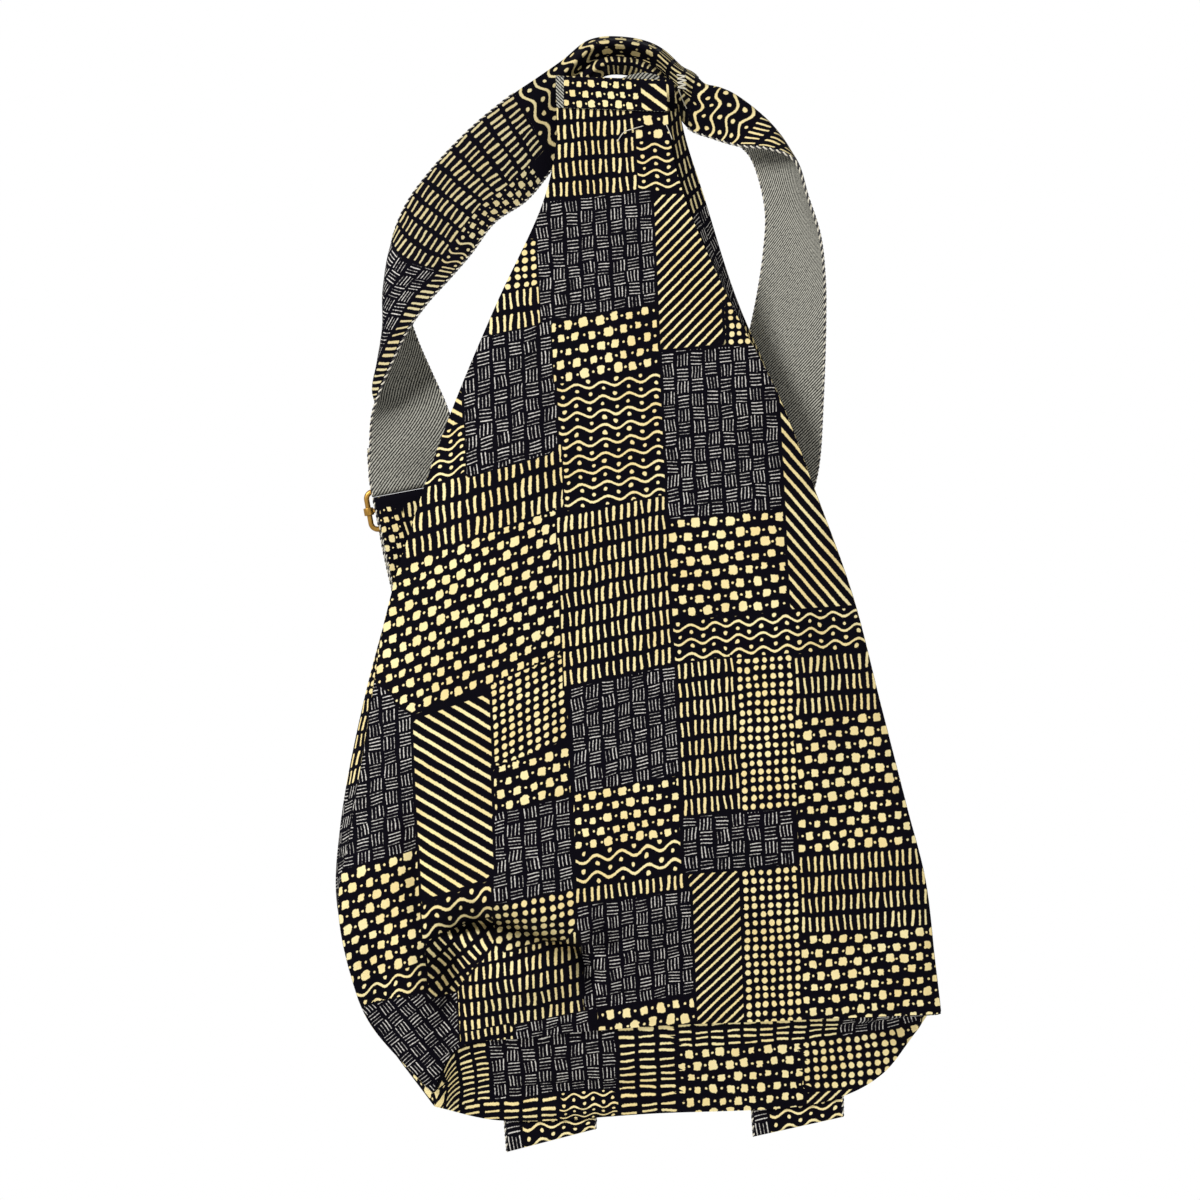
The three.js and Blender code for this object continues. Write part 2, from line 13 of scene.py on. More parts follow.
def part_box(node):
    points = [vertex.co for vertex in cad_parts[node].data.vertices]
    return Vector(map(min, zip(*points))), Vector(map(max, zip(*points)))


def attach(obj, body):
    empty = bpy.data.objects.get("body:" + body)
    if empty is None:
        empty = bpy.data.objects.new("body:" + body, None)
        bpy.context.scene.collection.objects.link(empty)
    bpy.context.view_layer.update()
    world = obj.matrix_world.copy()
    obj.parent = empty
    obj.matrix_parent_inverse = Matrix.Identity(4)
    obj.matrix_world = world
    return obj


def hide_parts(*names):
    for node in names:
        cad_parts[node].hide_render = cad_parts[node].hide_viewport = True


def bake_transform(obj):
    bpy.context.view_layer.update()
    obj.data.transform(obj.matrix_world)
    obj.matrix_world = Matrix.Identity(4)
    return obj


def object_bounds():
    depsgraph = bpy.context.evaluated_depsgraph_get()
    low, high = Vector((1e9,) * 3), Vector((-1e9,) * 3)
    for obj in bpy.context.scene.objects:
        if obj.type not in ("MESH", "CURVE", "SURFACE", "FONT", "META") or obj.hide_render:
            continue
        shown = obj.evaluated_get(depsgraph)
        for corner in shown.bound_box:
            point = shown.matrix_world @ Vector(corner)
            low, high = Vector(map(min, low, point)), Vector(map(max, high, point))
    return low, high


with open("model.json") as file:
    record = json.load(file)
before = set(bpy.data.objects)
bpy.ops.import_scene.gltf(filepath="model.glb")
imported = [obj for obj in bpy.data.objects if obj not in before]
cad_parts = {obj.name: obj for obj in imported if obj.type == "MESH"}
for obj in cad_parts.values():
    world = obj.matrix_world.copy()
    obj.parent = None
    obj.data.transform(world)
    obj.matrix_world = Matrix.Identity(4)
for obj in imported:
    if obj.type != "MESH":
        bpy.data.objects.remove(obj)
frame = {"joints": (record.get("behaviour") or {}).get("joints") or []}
cad_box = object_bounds()

MM = 0.001

# Cloth
CLOTH = 1.2
SEWN_GAP = 0.35
LAYER_STEP = CLOTH + SEWN_GAP

# Body of the bag, measured down from the hanging point
NECK_DROP = 7
NECK_HALF = 30
NECK_SHIFT = 3
NECK_LENGTH = 63
NECK_FLARE = 8.5
MOUTH_LENGTH = 223
MOUTH_HALF = 126.5
SLOPE_BOW = 6
RIGHT_HOLLOW = 4.5
HIP_LENGTH = 155
HIP_HALF = 158.5
HIP_SHIFT = 5
SKIRT_LENGTH = 74
SKIRT_HALF = 160
LEFT_PULL = 19
BASE_DROOP = 50
CORNER_SAG = 31
CORNER_REACH = 28
ROUND_CORNER = 46
NECK_END = NECK_DROP + NECK_LENGTH
MOUTH_END = NECK_END + MOUTH_LENGTH
HIP_END = MOUTH_END + HIP_LENGTH
FRONT_DROP = HIP_END + SKIRT_LENGTH
BACK_DROP = FRONT_DROP + BASE_DROOP

# Depth of the bag, front to back
LOOP_DEPTH = 15
NECK_DEPTH = 12
HIP_DEPTH = 34
BASE_DEPTH = 20
HIP_LEAN_BACK = 5
BASE_LEAN_BACK = 1
BELLY_SWELL = 8
PLEAT_DEPTH = 12
BACK_LEAN = 9
BACK_LEAN_PLACE = HIP_LENGTH * 0.6
BACK_LEAN_SPREAD = HIP_LENGTH * 0.4
NECK_TURN = 11
MOUTH_INSET = 3
NECK_BACK_Y = -(LOOP_DEPTH / 2 + SEWN_GAP + CLOTH / 2)
NECK_FRONT_Y = NECK_BACK_Y - NECK_DEPTH
HIP_BACK_Y = NECK_BACK_Y + HIP_LEAN_BACK
HIP_FRONT_Y = HIP_BACK_Y - HIP_DEPTH
BASE_BACK_Y = NECK_BACK_Y + BASE_LEAN_BACK
BASE_FRONT_Y = BASE_BACK_Y - BASE_DEPTH

# Neck band
BAND_FRONT = 15.5
BAND_BACK = 9
BAND_TILT = 0.083
BAND_RAW_END = 4

# Shoulder strip: cuts across it from the left slider over the loop to the right slider, each from its
# outer edge to its inner edge, with the way that its middle bows out and the depth of its gathers
STRAP_WIDTH = 50
STRAP_TURN_BACK = 24
Cut = namedtuple("Cut", "outer inner bow gather", defaults=((0, 0, 0), 0))
LEFT_CUTS = [
    Cut((-90.5, -2, -199), (-138, -5, -200)),
    Cut((-95.5, 3, -179), (-135.7, -10, -182.4), (-4, 2, -1)),
    Cut((-103, 8, -160), (-131, -14, -170.4), (-14.5, 0, -3)),
    Cut((-110, 9, -142), (-123.3, -17, -154.6), (-14, -4, -4)),
    Cut((-116, 8, -122), (-113.4, -18, -136.8), (-13, -5, -5)),
    Cut((-120, 3, -106), (-102.7, -18, -123), (-14, -4, -2)),
    Cut((-121.5, -3, -90), (-90, -17, -110), (-12, -4, -3)),
    Cut((-113, -7, -69), (-78, -15, -97), (-2, -3, -1)),
    Cut((-98, -7, -49.7), (-64, -13, -79.8), (0, -2.5, 0)),
    Cut((-74, -6.5, -26.5), (-46, -10, -68), (0, -2, 0)),
    Cut((-50.5, -5, -8.8), (-29.7, -6, -49.3), (0, -1, 0)),
]
LOOP_CUTS = [
    Cut((-36.9, -3, 0), (-15, 0, -32), gather=0.6),
    Cut((-22.7, -2, 9.2), (-9, 0, -8), gather=2.5),
    Cut((-7, 0, 20.6), (0, 0, 0), gather=4.5),
    Cut((12, 0, 21.2), (10, 0, 0.5), gather=5),
    Cut((29, 0, 16), (21, 0, -3), gather=5),
    Cut((42, -1, 4.5), (33, -3, -14), gather=3.5),
]
RIGHT_CUTS = [
    Cut((51, 1, -1), (44, -8, -32), (1, -3, 3), 1.5),
    Cut((61, 2, -25), (57.5, -10, -38.5), (6, -4, 19), 0.6),
    Cut((72, 4, -40), (71, -12, -43.5), (13, -5, 15)),
    Cut((79, 11, -47), (88, -23, -47.8), (12, -5, 6)),
    Cut((83, 11, -58), (100.5, -28, -55), (8, -2, 1.5)),
    Cut((86.2, 11, -79), (107.5, -24, -75.6), (7, 2, 0)),
    Cut((84, 10, -101), (113.3, -20, -96), (5, 3, 0)),
    Cut((80, 9, -122), (115, -17, -118), (3, 4, 0)),
    Cut((75, 7, -142), (114.8, -11, -140), (2, 2, 0)),
    Cut((63, 1, -185), (112, -4, -184)),
    Cut((57, -1.5, -222), (108, -2.5, -221)),
]

# Sliders
WIRE_RADIUS = 1.5
ROD_RADIUS = 1.3
SLIDER_HEIGHT = 24
EYELET_WALL = 1
EYELET_HEIGHT = 4.2
EYELET_PLAY = 0.25
STRAP_PLAY = 1.2
ROD_TRAVEL = 3.5

# Lower straps
TAB_LENGTH = 8
TAB_FOLD_RADIUS = 1.7
TAIL_LENGTH = 88
TAIL_SLACK = 1.4
TAIL_DRIFT = 4
TAIL_PRINT_RISE = 2
Tab = namedtuple("Tab", "x tilt")
LEFT_TAB = Tab(x=-55, tilt=12)
RIGHT_TAB = Tab(x=81, tilt=10)

# Print: each patch is a field of one kind of mark, in whole marks of about these pitches
MARK_PITCH = {
    "dashes": (3.75, 10.2),
    "blobs": (8.5, 6.9),
    "waves": (13.5, 8),
    "basket": (8.4, 7.5),
    "slashes_up": None,
    "slashes_down": None,
    "dots": (4.75, 4.5),
}
MARKS = list(MARK_PITCH)
BORDER_PLAY = 0.9
Patch = namedtuple("Patch", "marks left right top bottom slope turn size", defaults=(0, 0, 1))

FRONT_PATCHWORK = [
    # The neck
    Patch("dashes", -36, 15, -17, -69, 0.05),
    Patch("blobs", 15, 36, -17, -40),
    Patch("waves", 15, 42, -40, -68),
    Patch("basket", -42, 23, -69, -133, 0.09),
    Patch("slashes_up", 22, 62, -69, -154, 0.05),
    Patch("dots", 56, 78, -129, -154),
    # The slope of the mouth
    Patch("dots", -60, -41, -92, -118, 0.1),
    Patch("dashes", -70, -40, -118, -142, 0.15),
    Patch("basket", -86, -34, -140, -218, 0.2),
    Patch("slashes_down", -98, -83, -172, -193, 0.3),
    Patch("waves", -110, -83, -193, -221, 0.32),
    Patch("dashes", -138, -31, -217, -254, 0.28, size=1.15),
    Patch("blobs", -138, -36.5, -254, -336, 0.33),
    # The middle column
    Patch("blobs", -37, 23, -133, -168, 0.13),
    Patch("waves", -34, 23, -168, -238, 0.08),
    Patch("dashes", -38, 23, -238, -331, 0.18),
    Patch("basket", -34, 24, -331, -389, 0.18),
    Patch("blobs", -34, 22, -389, -421, 0.1),
    Patch("waves", -34, 22, -421, -440, 0.13),
    Patch("dashes", -36, 24, -440, -450, 0.1),
    Patch("basket", -36, 28, -450, -508, 0.12),
    Patch("blobs", -26, 28, -508, -524, 0.1),
    # The right side
    Patch("basket", 23, 86, -155, -246, 0.05),
    Patch("slashes_down", 86, 134, -150, -300, turn=-8),
    Patch("blobs", 23, 86, -246, -300, 0.04),
    Patch("waves", 23, 152, -300, -323, 0.045),
    Patch("dashes", 24, 56, -323, -407, 0.09),
    Patch("dots", 56, 87, -323, -406, 0.035),
    Patch("dashes", 87, 152, -323, -356, 0.03),
    Patch("blobs", 86, 164, -356, -430, 0.03),
    Patch("basket", 23, 84, -407, -437, 0.03),
    Patch("dashes", 85, 166, -430, -474, 0.03),
    Patch("slashes_up", 25, 54, -437, -524),
    Patch("dots", 54, 85, -437, -524, 0.03),
    Patch("blobs", 85, 168, -474, -526, 0.03),
    # The lower left, round the sag fold
    Patch("dots", -77, -36, -323, -371, 0.42),
    Patch("blobs", -79, -36, -371, -398, 0.2),
    Patch("basket", -80, -36, -398, -447, 0.14),
    Patch("dots", -80, -36, -447, -480, 0.12),
    Patch("slashes_down", -121, -75, -343, -441, 0.3),
    Patch("waves", -121, -80, -444, -464, 0.32),
    Patch("dashes", -118, -80, -462, -500, 0.3, turn=30),
    Patch("dashes", -104, -31, -470, -518, 0.16),
    Patch("dashes", -104, -72, -516, -534, 0.16),
    Patch("basket", -72, -31, -513, -526, 0.15),
    Patch("basket", -170, -119, -330, -425, 0.2),
    Patch("blobs", -170, -118, -425, -488, 0.3),
    Patch("waves", -168, -118, -488, -505, 0.4),
    Patch("basket", -166, -100, -498, -562, turn=35),
]

# The side strip is laid out by the base's own X from corner to corner, then on up both sides
STRIP_PATCHWORK = [
    # Up the left side
    Patch("dots", -420, -350, 10, -60),
    Patch("dashes", -350, -300, 10, -60, turn=90),
    Patch("basket", -300, -175, 10, -60),
    Patch("blobs", -175, -113, 10, -60),
    # The base
    Patch("dashes", -113, -87, 2, -38, turn=90),
    Patch("basket", -87, -17, 2, -38),
    Patch("dashes", -113, -50, -38, -58, turn=90),
    Patch("waves", -50, -17, -38, -58, size=0.7),
    Patch("dashes", -17, 16, 0, -58, turn=90, size=1.15),
    Patch("dashes", 16, 106, 0, -15, turn=90, size=0.9),
    Patch("blobs", 16, 85, -15, -58),
    Patch("dots", 85, 138, -15, -44),
    Patch("basket", 106, 160, 0, -15),
    Patch("slashes_up", 85, 150, -44, -60),
    Patch("blobs", 138, 178, -15, -60),
    # Up the right side
    Patch("dashes", 178, 250, 10, -60, turn=90),
    Patch("basket", 250, 330, 10, -60),
    Patch("waves", 330, 380, 10, -60, turn=90),
    Patch("blobs", 380, 460, 10, -60),
    Patch("dots", 460, 548, 10, -60),
    Patch("basket", 548, 618, 10, -60),
    Patch("dashes", 618, 720, 10, -60, turn=90),
]

BAND_PATCHWORK = [
    Patch("blobs", -23, 18, 1, -15.5, size=0.85),
    Patch("slashes_down", 18, 34, 1, -15.5, turn=8, size=1.3),
    Patch("dashes", -30, 35, 20, 0),
]

# The shoulder strip is laid out from its outer edge to its inner one, and along from the loop's ends
LOOP_PATCHWORK = [
    Patch("waves", -25, 25, 58, 0, size=1.4),
    Patch("blobs", -25, 2, 88, 58),
    Patch("dashes", -25, 2, 130, 88),
    Patch("dashes", 2, 25, 130, 58, turn=90),
]
LEFT_SHOULDER_PATCHWORK = [
    Patch("dashes", -25, 13, 0, -101),
    Patch("blobs", 12, 25, -12, -72, size=0.75),
    Patch("waves", 13, 25, -72, -96),
    Patch("dashes", 15, 25, -96, -215, turn=90),
    Patch("basket", -25, 15, -101, -215),
    Patch("blobs", -25, 25, -215, -300),
]
RIGHT_SHOULDER_PATCHWORK = [
    Patch("waves", -25, 25, 40, 0, size=1.4),
    Patch("dashes", -25, 25, 72, 40),
    Patch("basket", -25, 25, 150, 72),
    Patch("blobs", -25, 25, 340, 150),
]

# Down the lower straps: the tab, the rise behind the bag and, up from its end, the tail
TAB_PATCHWORK = [
    Patch("basket", -25, -16, 1, -14),
    Patch("waves", -16, 25, 1, -14),
    Patch("basket", -25, 25, -14, -100),
    Patch("dashes", -25, 25, -100, -180),
    Patch("dots", -25, 2, -180, -260),
    Patch("slashes_up", 2, 25, -180, -260),
    Patch("waves", -25, 25, -260, -380),
]


def tail_patchwork(length):
    top = TAIL_LENGTH - length + TAIL_PRINT_RISE
    return [Patch("blobs", -25, -13, top, -length, size=0.75), Patch("dashes", -13, 25, top, -length)]


def bell(x):
    return np.exp(-x * x)


def smooth(x, low, high):
    t = np.clip((x - low) / (high - low), 0, 1)
    return t * t * (3 - 2 * t)


def mix(a, b, t):
    return a + (b - a) * t


def unit(vectors):
    return vectors / np.linalg.norm(vectors, axis=-1, keepdims=True)


def run_of(line):
    """The way along a line of points to each of them."""
    return np.concatenate([[0], np.cumsum(np.linalg.norm(np.diff(line, axis=0), axis=1))])


def points_along(line, way):
    """The points of a line at the given ways along it."""
    run = run_of(line)
    return np.stack([np.interp(way, run, line[:, k]) for k in range(3)], axis=-1)


ROUTE_STEPS = 800


class Route:
    """A smooth curve through points, which keeps an even pull whatever their spacing."""

    def __init__(self, points):
        self.points = np.array(points, float)
        before = 2 * self.points[0] - self.points[1]
        after = 2 * self.points[-1] - self.points[-2]
        self.padded = np.vstack([before, self.points, after])
        self.fine = np.linspace(0, 1, ROUTE_STEPS + 1)
        self.run = run_of(self.at(self.fine))

    def at(self, t):
        scaled = np.clip(np.atleast_1d(t), 0, 1) * (len(self.points) - 1)
        i = np.minimum(scaled.astype(int), len(self.points) - 2)
        w = (scaled - i)[:, None]
        p0, p1, p2, p3 = (self.padded[i + k] for k in range(4))
        d0, d1, d2 = (
            np.sqrt(np.linalg.norm(b - a, axis=1))[:, None] for a, b in ((p0, p1), (p1, p2), (p2, p3))
        )
        leave = ((p1 - p0) / d0 - (p2 - p0) / (d0 + d1) + (p2 - p1) / d1) * d1
        arrive = ((p2 - p1) / d1 - (p3 - p1) / (d1 + d2) + (p3 - p2) / d2) * d1
        bend = 3 * (p2 - p1) - 2 * leave - arrive
        return p1 + leave * w + bend * w**2 + (2 * (p1 - p2) + leave + arrive) * w**3

    def share(self, share):
        """Where the given shares of the curve's length lie."""
        return np.interp(np.asarray(share) * self.run[-1], self.run, self.fine)


# Meshes
def deselect_all():
    if bpy.context.object and bpy.context.object.mode != "OBJECT":
        bpy.ops.object.mode_set(mode="OBJECT")
    bpy.ops.object.select_all(action="DESELECT")


def make_active(obj):
    deselect_all()
    obj.select_set(True)
    bpy.context.view_layer.objects.active = obj


def rename(piece, name):
    piece.name = name
    piece.data.name = name


def apply_modifier(obj, kind, **settings):
    make_active(obj)
    modifier = obj.modifiers.new(kind.lower(), kind)
    for name, value in settings.items():
        setattr(modifier, name, value)
    bpy.ops.object.modifier_apply(modifier=modifier.name)


def cloth_grid(name, points):
    """A grid of points, whose columns cross its rows on the printed side, as a sheet of faces."""
    rows, columns = points.shape[:2]
    deselect_all()
    bpy.ops.mesh.primitive_grid_add(x_subdivisions=columns - 1, y_subdivisions=rows - 1, size=1)
    cloth = bpy.context.object
    rename(cloth, name)
    while cloth.data.uv_layers:
        cloth.data.uv_layers.remove(cloth.data.uv_layers[0])
    cloth.data.vertices.foreach_set("co", (points * MM).astype(np.float32).ravel())
    cloth.data.update()
    return cloth


def write_uv(mesh, name, places):
    layer = mesh.uv_layers.new(name=name)
    layer.data.foreach_set("uv", places.astype(np.float32).ravel())


def write_attribute(mesh, name, domain, values):
    attribute = mesh.attributes.new(name, "FLOAT", domain)
    attribute.data.foreach_set("value", np.asarray(values, np.float32))


def depth_in(patch, places):
    """How far each place lies inside a patch, negative outside it."""
    x = places[:, 0]
    y = places[:, 1] - patch.slope * (x - (patch.left + patch.right) / 2)
    return np.min([x - patch.left, patch.right - x, patch.top - y, y - patch.bottom], axis=0)


def whole_marks(patch, axis, span):
    """How much a patch's marks are drawn in or let out so that whole ones fill its span."""
    pitch = MARK_PITCH[patch.marks]
    if not pitch:
        return 1 / patch.size
    return max(round(span / (pitch[axis] * patch.size)), 1) * pitch[axis] / span


def lay_print(cloth, flat, patchwork, painted_shade):
    """Gives each face its patch: the kind of mark, its place in the patch, its way to the border, and the
    painted shade on its marks.
    """
    mesh = cloth.data
    corners = np.empty(len(mesh.loops), int)
    mesh.loops.foreach_get("vertex_index", corners)
    places = flat.reshape(-1, 2)[corners]
    centres = places.reshape(-1, 4, 2).mean(axis=1)
    chosen = np.argmax([depth_in(patch, centres) for patch in patchwork], axis=0)
    depths = np.array([depth_in(patch, places) for patch in patchwork])
    own = np.repeat(chosen, 4)
    every_corner = np.arange(len(own))
    own_depth = depths[own, every_corner]
    depths[own, every_corner] = -np.inf
    inset = np.minimum((own_depth - depths.max(axis=0)) / 2, own_depth + BORDER_PLAY)
    local = np.empty_like(places)
    for number, patch in enumerate(patchwork):
        here = own == number
        width, height = patch.right - patch.left, patch.top - patch.bottom
        x = places[here, 0] - patch.left
        y = places[here, 1] - patch.slope * (x - width / 2) - patch.bottom
        turn = math.radians(patch.turn)
        turned = (x * math.cos(turn) + y * math.sin(turn), y * math.cos(turn) - x * math.sin(turn))
        spans = (height, width) if patch.turn == 90 else (width, height)
        for axis in (0, 1):
            local[here, axis] = turned[axis] * whole_marks(patch, axis, spans[axis])
    write_uv(mesh, "print", local)
    write_uv(mesh, "cloth", places)
    kinds = np.array([MARKS.index(patch.marks) for patch in patchwork])
    write_attribute(mesh, "marks", "FACE", kinds[chosen])
    # Painted shade on the marks, one amount for the whole piece
    write_attribute(mesh, "painted_shade", "FACE", np.full(len(chosen), painted_shade))
    write_attribute(mesh, "inset", "CORNER", inset)


CLOTH_CREASE_ANGLE = math.radians(50)
METAL_CREASE_ANGLE = math.radians(40)
PRINTED_SIDE, REVERSE_SIDE = 0, 1


def make_cloth(name, points, flat, patchwork, painted_shade=0, edge=REVERSE_SIDE):
    """A thick sheet: the print outside, the grey reverse inside and the given finish on its edges."""
    cloth = cloth_grid(name, points)
    lay_print(cloth, flat, patchwork, painted_shade)
    for material in (printed_denim, denim_reverse):
        cloth.data.materials.append(material)
    apply_modifier(
        cloth, "SOLIDIFY", thickness=CLOTH * MM, offset=0,
        material_offset=REVERSE_SIDE, material_offset_rim=edge,
    )
    make_active(cloth)
    bpy.ops.object.shade_smooth_by_angle(angle=CLOTH_CREASE_ANGLE)
    return cloth


def turn_hem(cloth, finish, chosen):
    """Gives the chosen faces the print or the reverse, where a hem is turned over."""
    for face in cloth.data.polygons:
        if chosen(face.center / MM):
            face.material_index = finish


# Materials
class Graph:
    """A node tree, built by plain steps that each return a socket."""

    def __init__(self, tree):
        self.tree = tree
        tree.nodes.clear()

    def node(self, kind, **settings):
        node = self.tree.nodes.new(kind)
        for name, value in settings.items():
            setattr(node, name, value)
        return node

    def feed(self, socket, value):
        if isinstance(value, bpy.types.NodeSocket):
            self.tree.links.new(value, socket)
        else:
            socket.default_value = value

    def math(self, operation, *values):
        node = self.node("ShaderNodeMath", operation=operation)
        for socket, value in zip(node.inputs, values):
            self.feed(socket, value)
        return node.outputs[0]

    add = partialmethod(math, "ADD")
    sub = partialmethod(math, "SUBTRACT")
    mul = partialmethod(math, "MULTIPLY")
    mul_add = partialmethod(math, "MULTIPLY_ADD")
    size = partialmethod(math, "ABSOLUTE")

    def split(self, vector):
        node = self.node("ShaderNodeSeparateXYZ")
        self.feed(node.inputs[0], vector)
        return node.outputs

    def join(self, x, y, z=0.0):
        node = self.node("ShaderNodeCombineXYZ")
        for socket, value in zip(node.inputs, (x, y, z)):
            self.feed(socket, value)
        return node.outputs[0]

    def blend(self, factor, a, b, kind="FLOAT"):
        node = self.node("ShaderNodeMix", data_type=kind)
        ends = {"FLOAT": (0, 2, 3, 0), "RGBA": (0, 6, 7, 2)}[kind]
        for index, value in zip(ends, (factor, a, b)):
            self.feed(node.inputs[index], value)
        return node.outputs[ends[3]]

    def ramp(self, value, low, high, start=0.0, end=1.0):
        node = self.node("ShaderNodeMapRange", interpolation_type="SMOOTHSTEP")
        for socket, number in zip(node.inputs, (value, low, high, start, end)):
            self.feed(socket, number)
        return node.outputs[0]

    def noise(self, vector, scale, detail=2.0):
        node = self.node("ShaderNodeTexNoise")
        self.feed(node.inputs["Vector"], vector)
        node.inputs["Scale"].default_value = scale
        node.inputs["Detail"].default_value = detail
        return node.outputs["Fac"]

    def chance(self, x, y, salt):
        node = self.node("ShaderNodeTexWhiteNoise", noise_dimensions="3D")
        self.feed(node.inputs["Vector"], self.join(x, y, salt))
        return self.split(node.outputs["Color"])

    def uv(self, name):
        return self.node("ShaderNodeUVMap", uv_map=name).outputs[0]

    def object_place(self):
        return self.node("ShaderNodeTexCoord").outputs["Object"]

    def attribute(self, name):
        return self.node("ShaderNodeAttribute", attribute_name=name).outputs["Fac"]


def srgb(red, green, blue):
    """A paint colour from its 0 to 255 values."""
    values = (v / 255 for v in (red, green, blue))
    return (*(v / 12.92 if v < 0.04045 else ((v + 0.055) / 1.055) ** 2.4 for v in values), 1.0)


def new_material(name, roughness=None, specular=None):
    material = bpy.data.materials.new(name)
    material.use_nodes = True
    graph = Graph(material.node_tree)
    shader = graph.node("ShaderNodeBsdfPrincipled")
    output = graph.node("ShaderNodeOutputMaterial")
    material.node_tree.links.new(shader.outputs[0], output.inputs[0])
    for socket, value in (("Roughness", roughness), ("Specular IOR Level", specular)):
        if value is not None:
            shader.inputs[socket].default_value = value
    return material, graph, shader


def add_bump(g, shader, height, strength, distance):
    bump = g.node("ShaderNodeBump")
    bump.inputs["Strength"].default_value = strength
    bump.inputs["Distance"].default_value = distance * MM
    g.feed(bump.inputs["Height"], height)
    g.feed(shader.inputs["Normal"], bump.outputs[0])


def cells(g, value, pitch):
    """The number of the cell that a value falls in, and the way from that cell's middle."""
    scaled = g.math("DIVIDE", value, pitch)
    middle = g.sub(g.math("FRACT", scaled), 0.5)
    return g.math("FLOOR", scaled), g.mul(middle, pitch)


def shaken(g, value, chance, amount):
    return g.mul_add(g.sub(chance, 0.5), amount, value)


def radial(g, x, y):
    return g.math("SQRT", g.add(g.mul(x, x), g.mul(y, y)))


def round_bar(g, x, y, half, corner):
    """Distance to a bar with round corners."""
    past_x = g.math("MAXIMUM", g.sub(g.size(x), half[0] - corner), 0.0)
    past_y = g.math("MAXIMUM", g.sub(g.size(y), half[1] - corner), 0.0)
    return g.sub(radial(g, past_x, past_y), corner)


def dash_marks(g, x, y, pitch, half=(0.6, 3.85), corner=0.52, play=(0.7, 0.8), lean=0.16, uneven=0.3):
    """Rows of upright dashes."""
    row, in_row = cells(g, y, pitch[1])
    column, in_column = cells(g, x, pitch[0])
    shake_x, shake_y, chance = g.chance(column, row, salt=1.0)
    in_row = shaken(g, in_row, shake_y, play[1])
    in_column = shaken(g, in_column, shake_x, play[0])
    leaning = g.mul_add(g.sub(chance, 0.5), g.mul(in_row, lean), in_column)
    return shaken(g, round_bar(g, leaning, in_row, half, corner), chance, uneven)


def blob_marks(
    g, x, y, pitch, half=(1.85, 2.1), corner=0.9, play=(1.4, 1.3), uneven=0.9, rough=1.5, dot=0.62,
):
    """Staggered rows of rough blobs, with a small dot between each two."""
    row, in_row = cells(g, y, pitch[1])
    step = pitch[0] / 2
    stagger = g.mul_add(g.math("FLOORED_MODULO", row, 2.0), step, step / 2)
    column, in_column = cells(g, g.add(x, stagger), pitch[0])
    shake_x, shake_y, chance = g.chance(column, row, salt=2.0)
    blob_x = shaken(g, in_column, shake_x, play[0])
    blob_y = shaken(g, in_row, shake_y, play[1])
    blob = shaken(g, round_bar(g, blob_x, blob_y, half, corner), chance, uneven)
    blob = shaken(g, blob, g.noise(g.join(x, y), scale=0.42, detail=1.0), rough)
    dot_x = g.sub(g.size(in_column), step)
    return g.math("MINIMUM", blob, g.sub(radial(g, dot_x, in_row), dot))


def wave_marks(g, x, y, pitch, swing=1.5, half=0.66, dot=1.0, play=(2.0, 0.8), uneven=0.4):
    """Waving lines, with dots between them."""
    wave = g.math("SINE", g.mul(x, 2 * math.pi / pitch[0]))
    level = g.mul_add(wave, swing, y)
    in_row = cells(g, level, pitch[1])[1]
    line = g.sub(g.size(in_row), half)
    gap, in_gap = cells(g, g.add(level, pitch[1] / 2), pitch[1])
    column, in_column = cells(g, x, pitch[0] / 2)
    shake_x, shake_y, chance = g.chance(column, gap, salt=3.0)
    spot = radial(g, shaken(g, in_column, shake_x, play[0]), shaken(g, in_gap, shake_y, play[1]))
    return g.math("MINIMUM", line, shaken(g, g.sub(spot, dot), chance, uneven))


def basket_marks(
    g, x, y, pitch, half=(0.13, 3.0), corner=0.12, spacing=1.9, reach=3.3,
    stagger=4.0, play=0.9, lean=0.2, slip=0.8, uneven=0.2,
):
    """Bundles of fine strokes, upright and level by turns."""
    column, in_column = cells(g, x, pitch[0])
    row, in_row = cells(g, shaken(g, y, g.chance(column, 0.0, salt=7.0)[0], stagger), pitch[1])
    odd = g.math("FLOORED_MODULO", g.add(column, row), 2.0)
    across = g.blend(odd, in_column, in_row)
    along = g.blend(odd, in_row, in_column)
    shake, _, chance = g.chance(column, row, salt=4.0)
    across = g.mul_add(g.sub(chance, 0.5), g.mul(along, lean), across)
    across = shaken(g, across, shake, play)
    number, in_line = cells(g, across, spacing)
    stroke = g.chance(g.add(number, g.mul(column, 7.0)), row, salt=5.0)[0]
    line = round_bar(g, in_line, shaken(g, along, stroke, slip), half, corner)
    return g.math("MAXIMUM", shaken(g, line, stroke, uneven), g.sub(g.size(across), reach))


def slash_marks(g, x, y, rise, pitch, thickness):
    """Slanting lines."""
    across = g.math("DIVIDE", g.mul_add(x, rise, y), math.hypot(rise, 1.0))
    return g.sub(g.size(cells(g, across, pitch)[1]), thickness / 2)


def dot_marks(g, x, y, pitch, radius=1.44, play=0.7, uneven=0.4):
    """Close rows of round dots."""
    column, in_column = cells(g, x, pitch[0])
    row, in_row = cells(g, y, pitch[1])
    shake_x, shake_y, chance = g.chance(column, row, salt=6.0)
    dot = radial(g, shaken(g, in_column, shake_x, play), shaken(g, in_row, shake_y, play))
    return shaken(g, g.sub(dot, radius), chance, uneven)


WOBBLE = 1.6
WOBBLE_SCALE = 0.1
RAGGED = 0.7
INK_EDGE = 0.2
BORDER = 0.45
SLASH_BORDER = 1.2
INK_RELIEF = 0.3


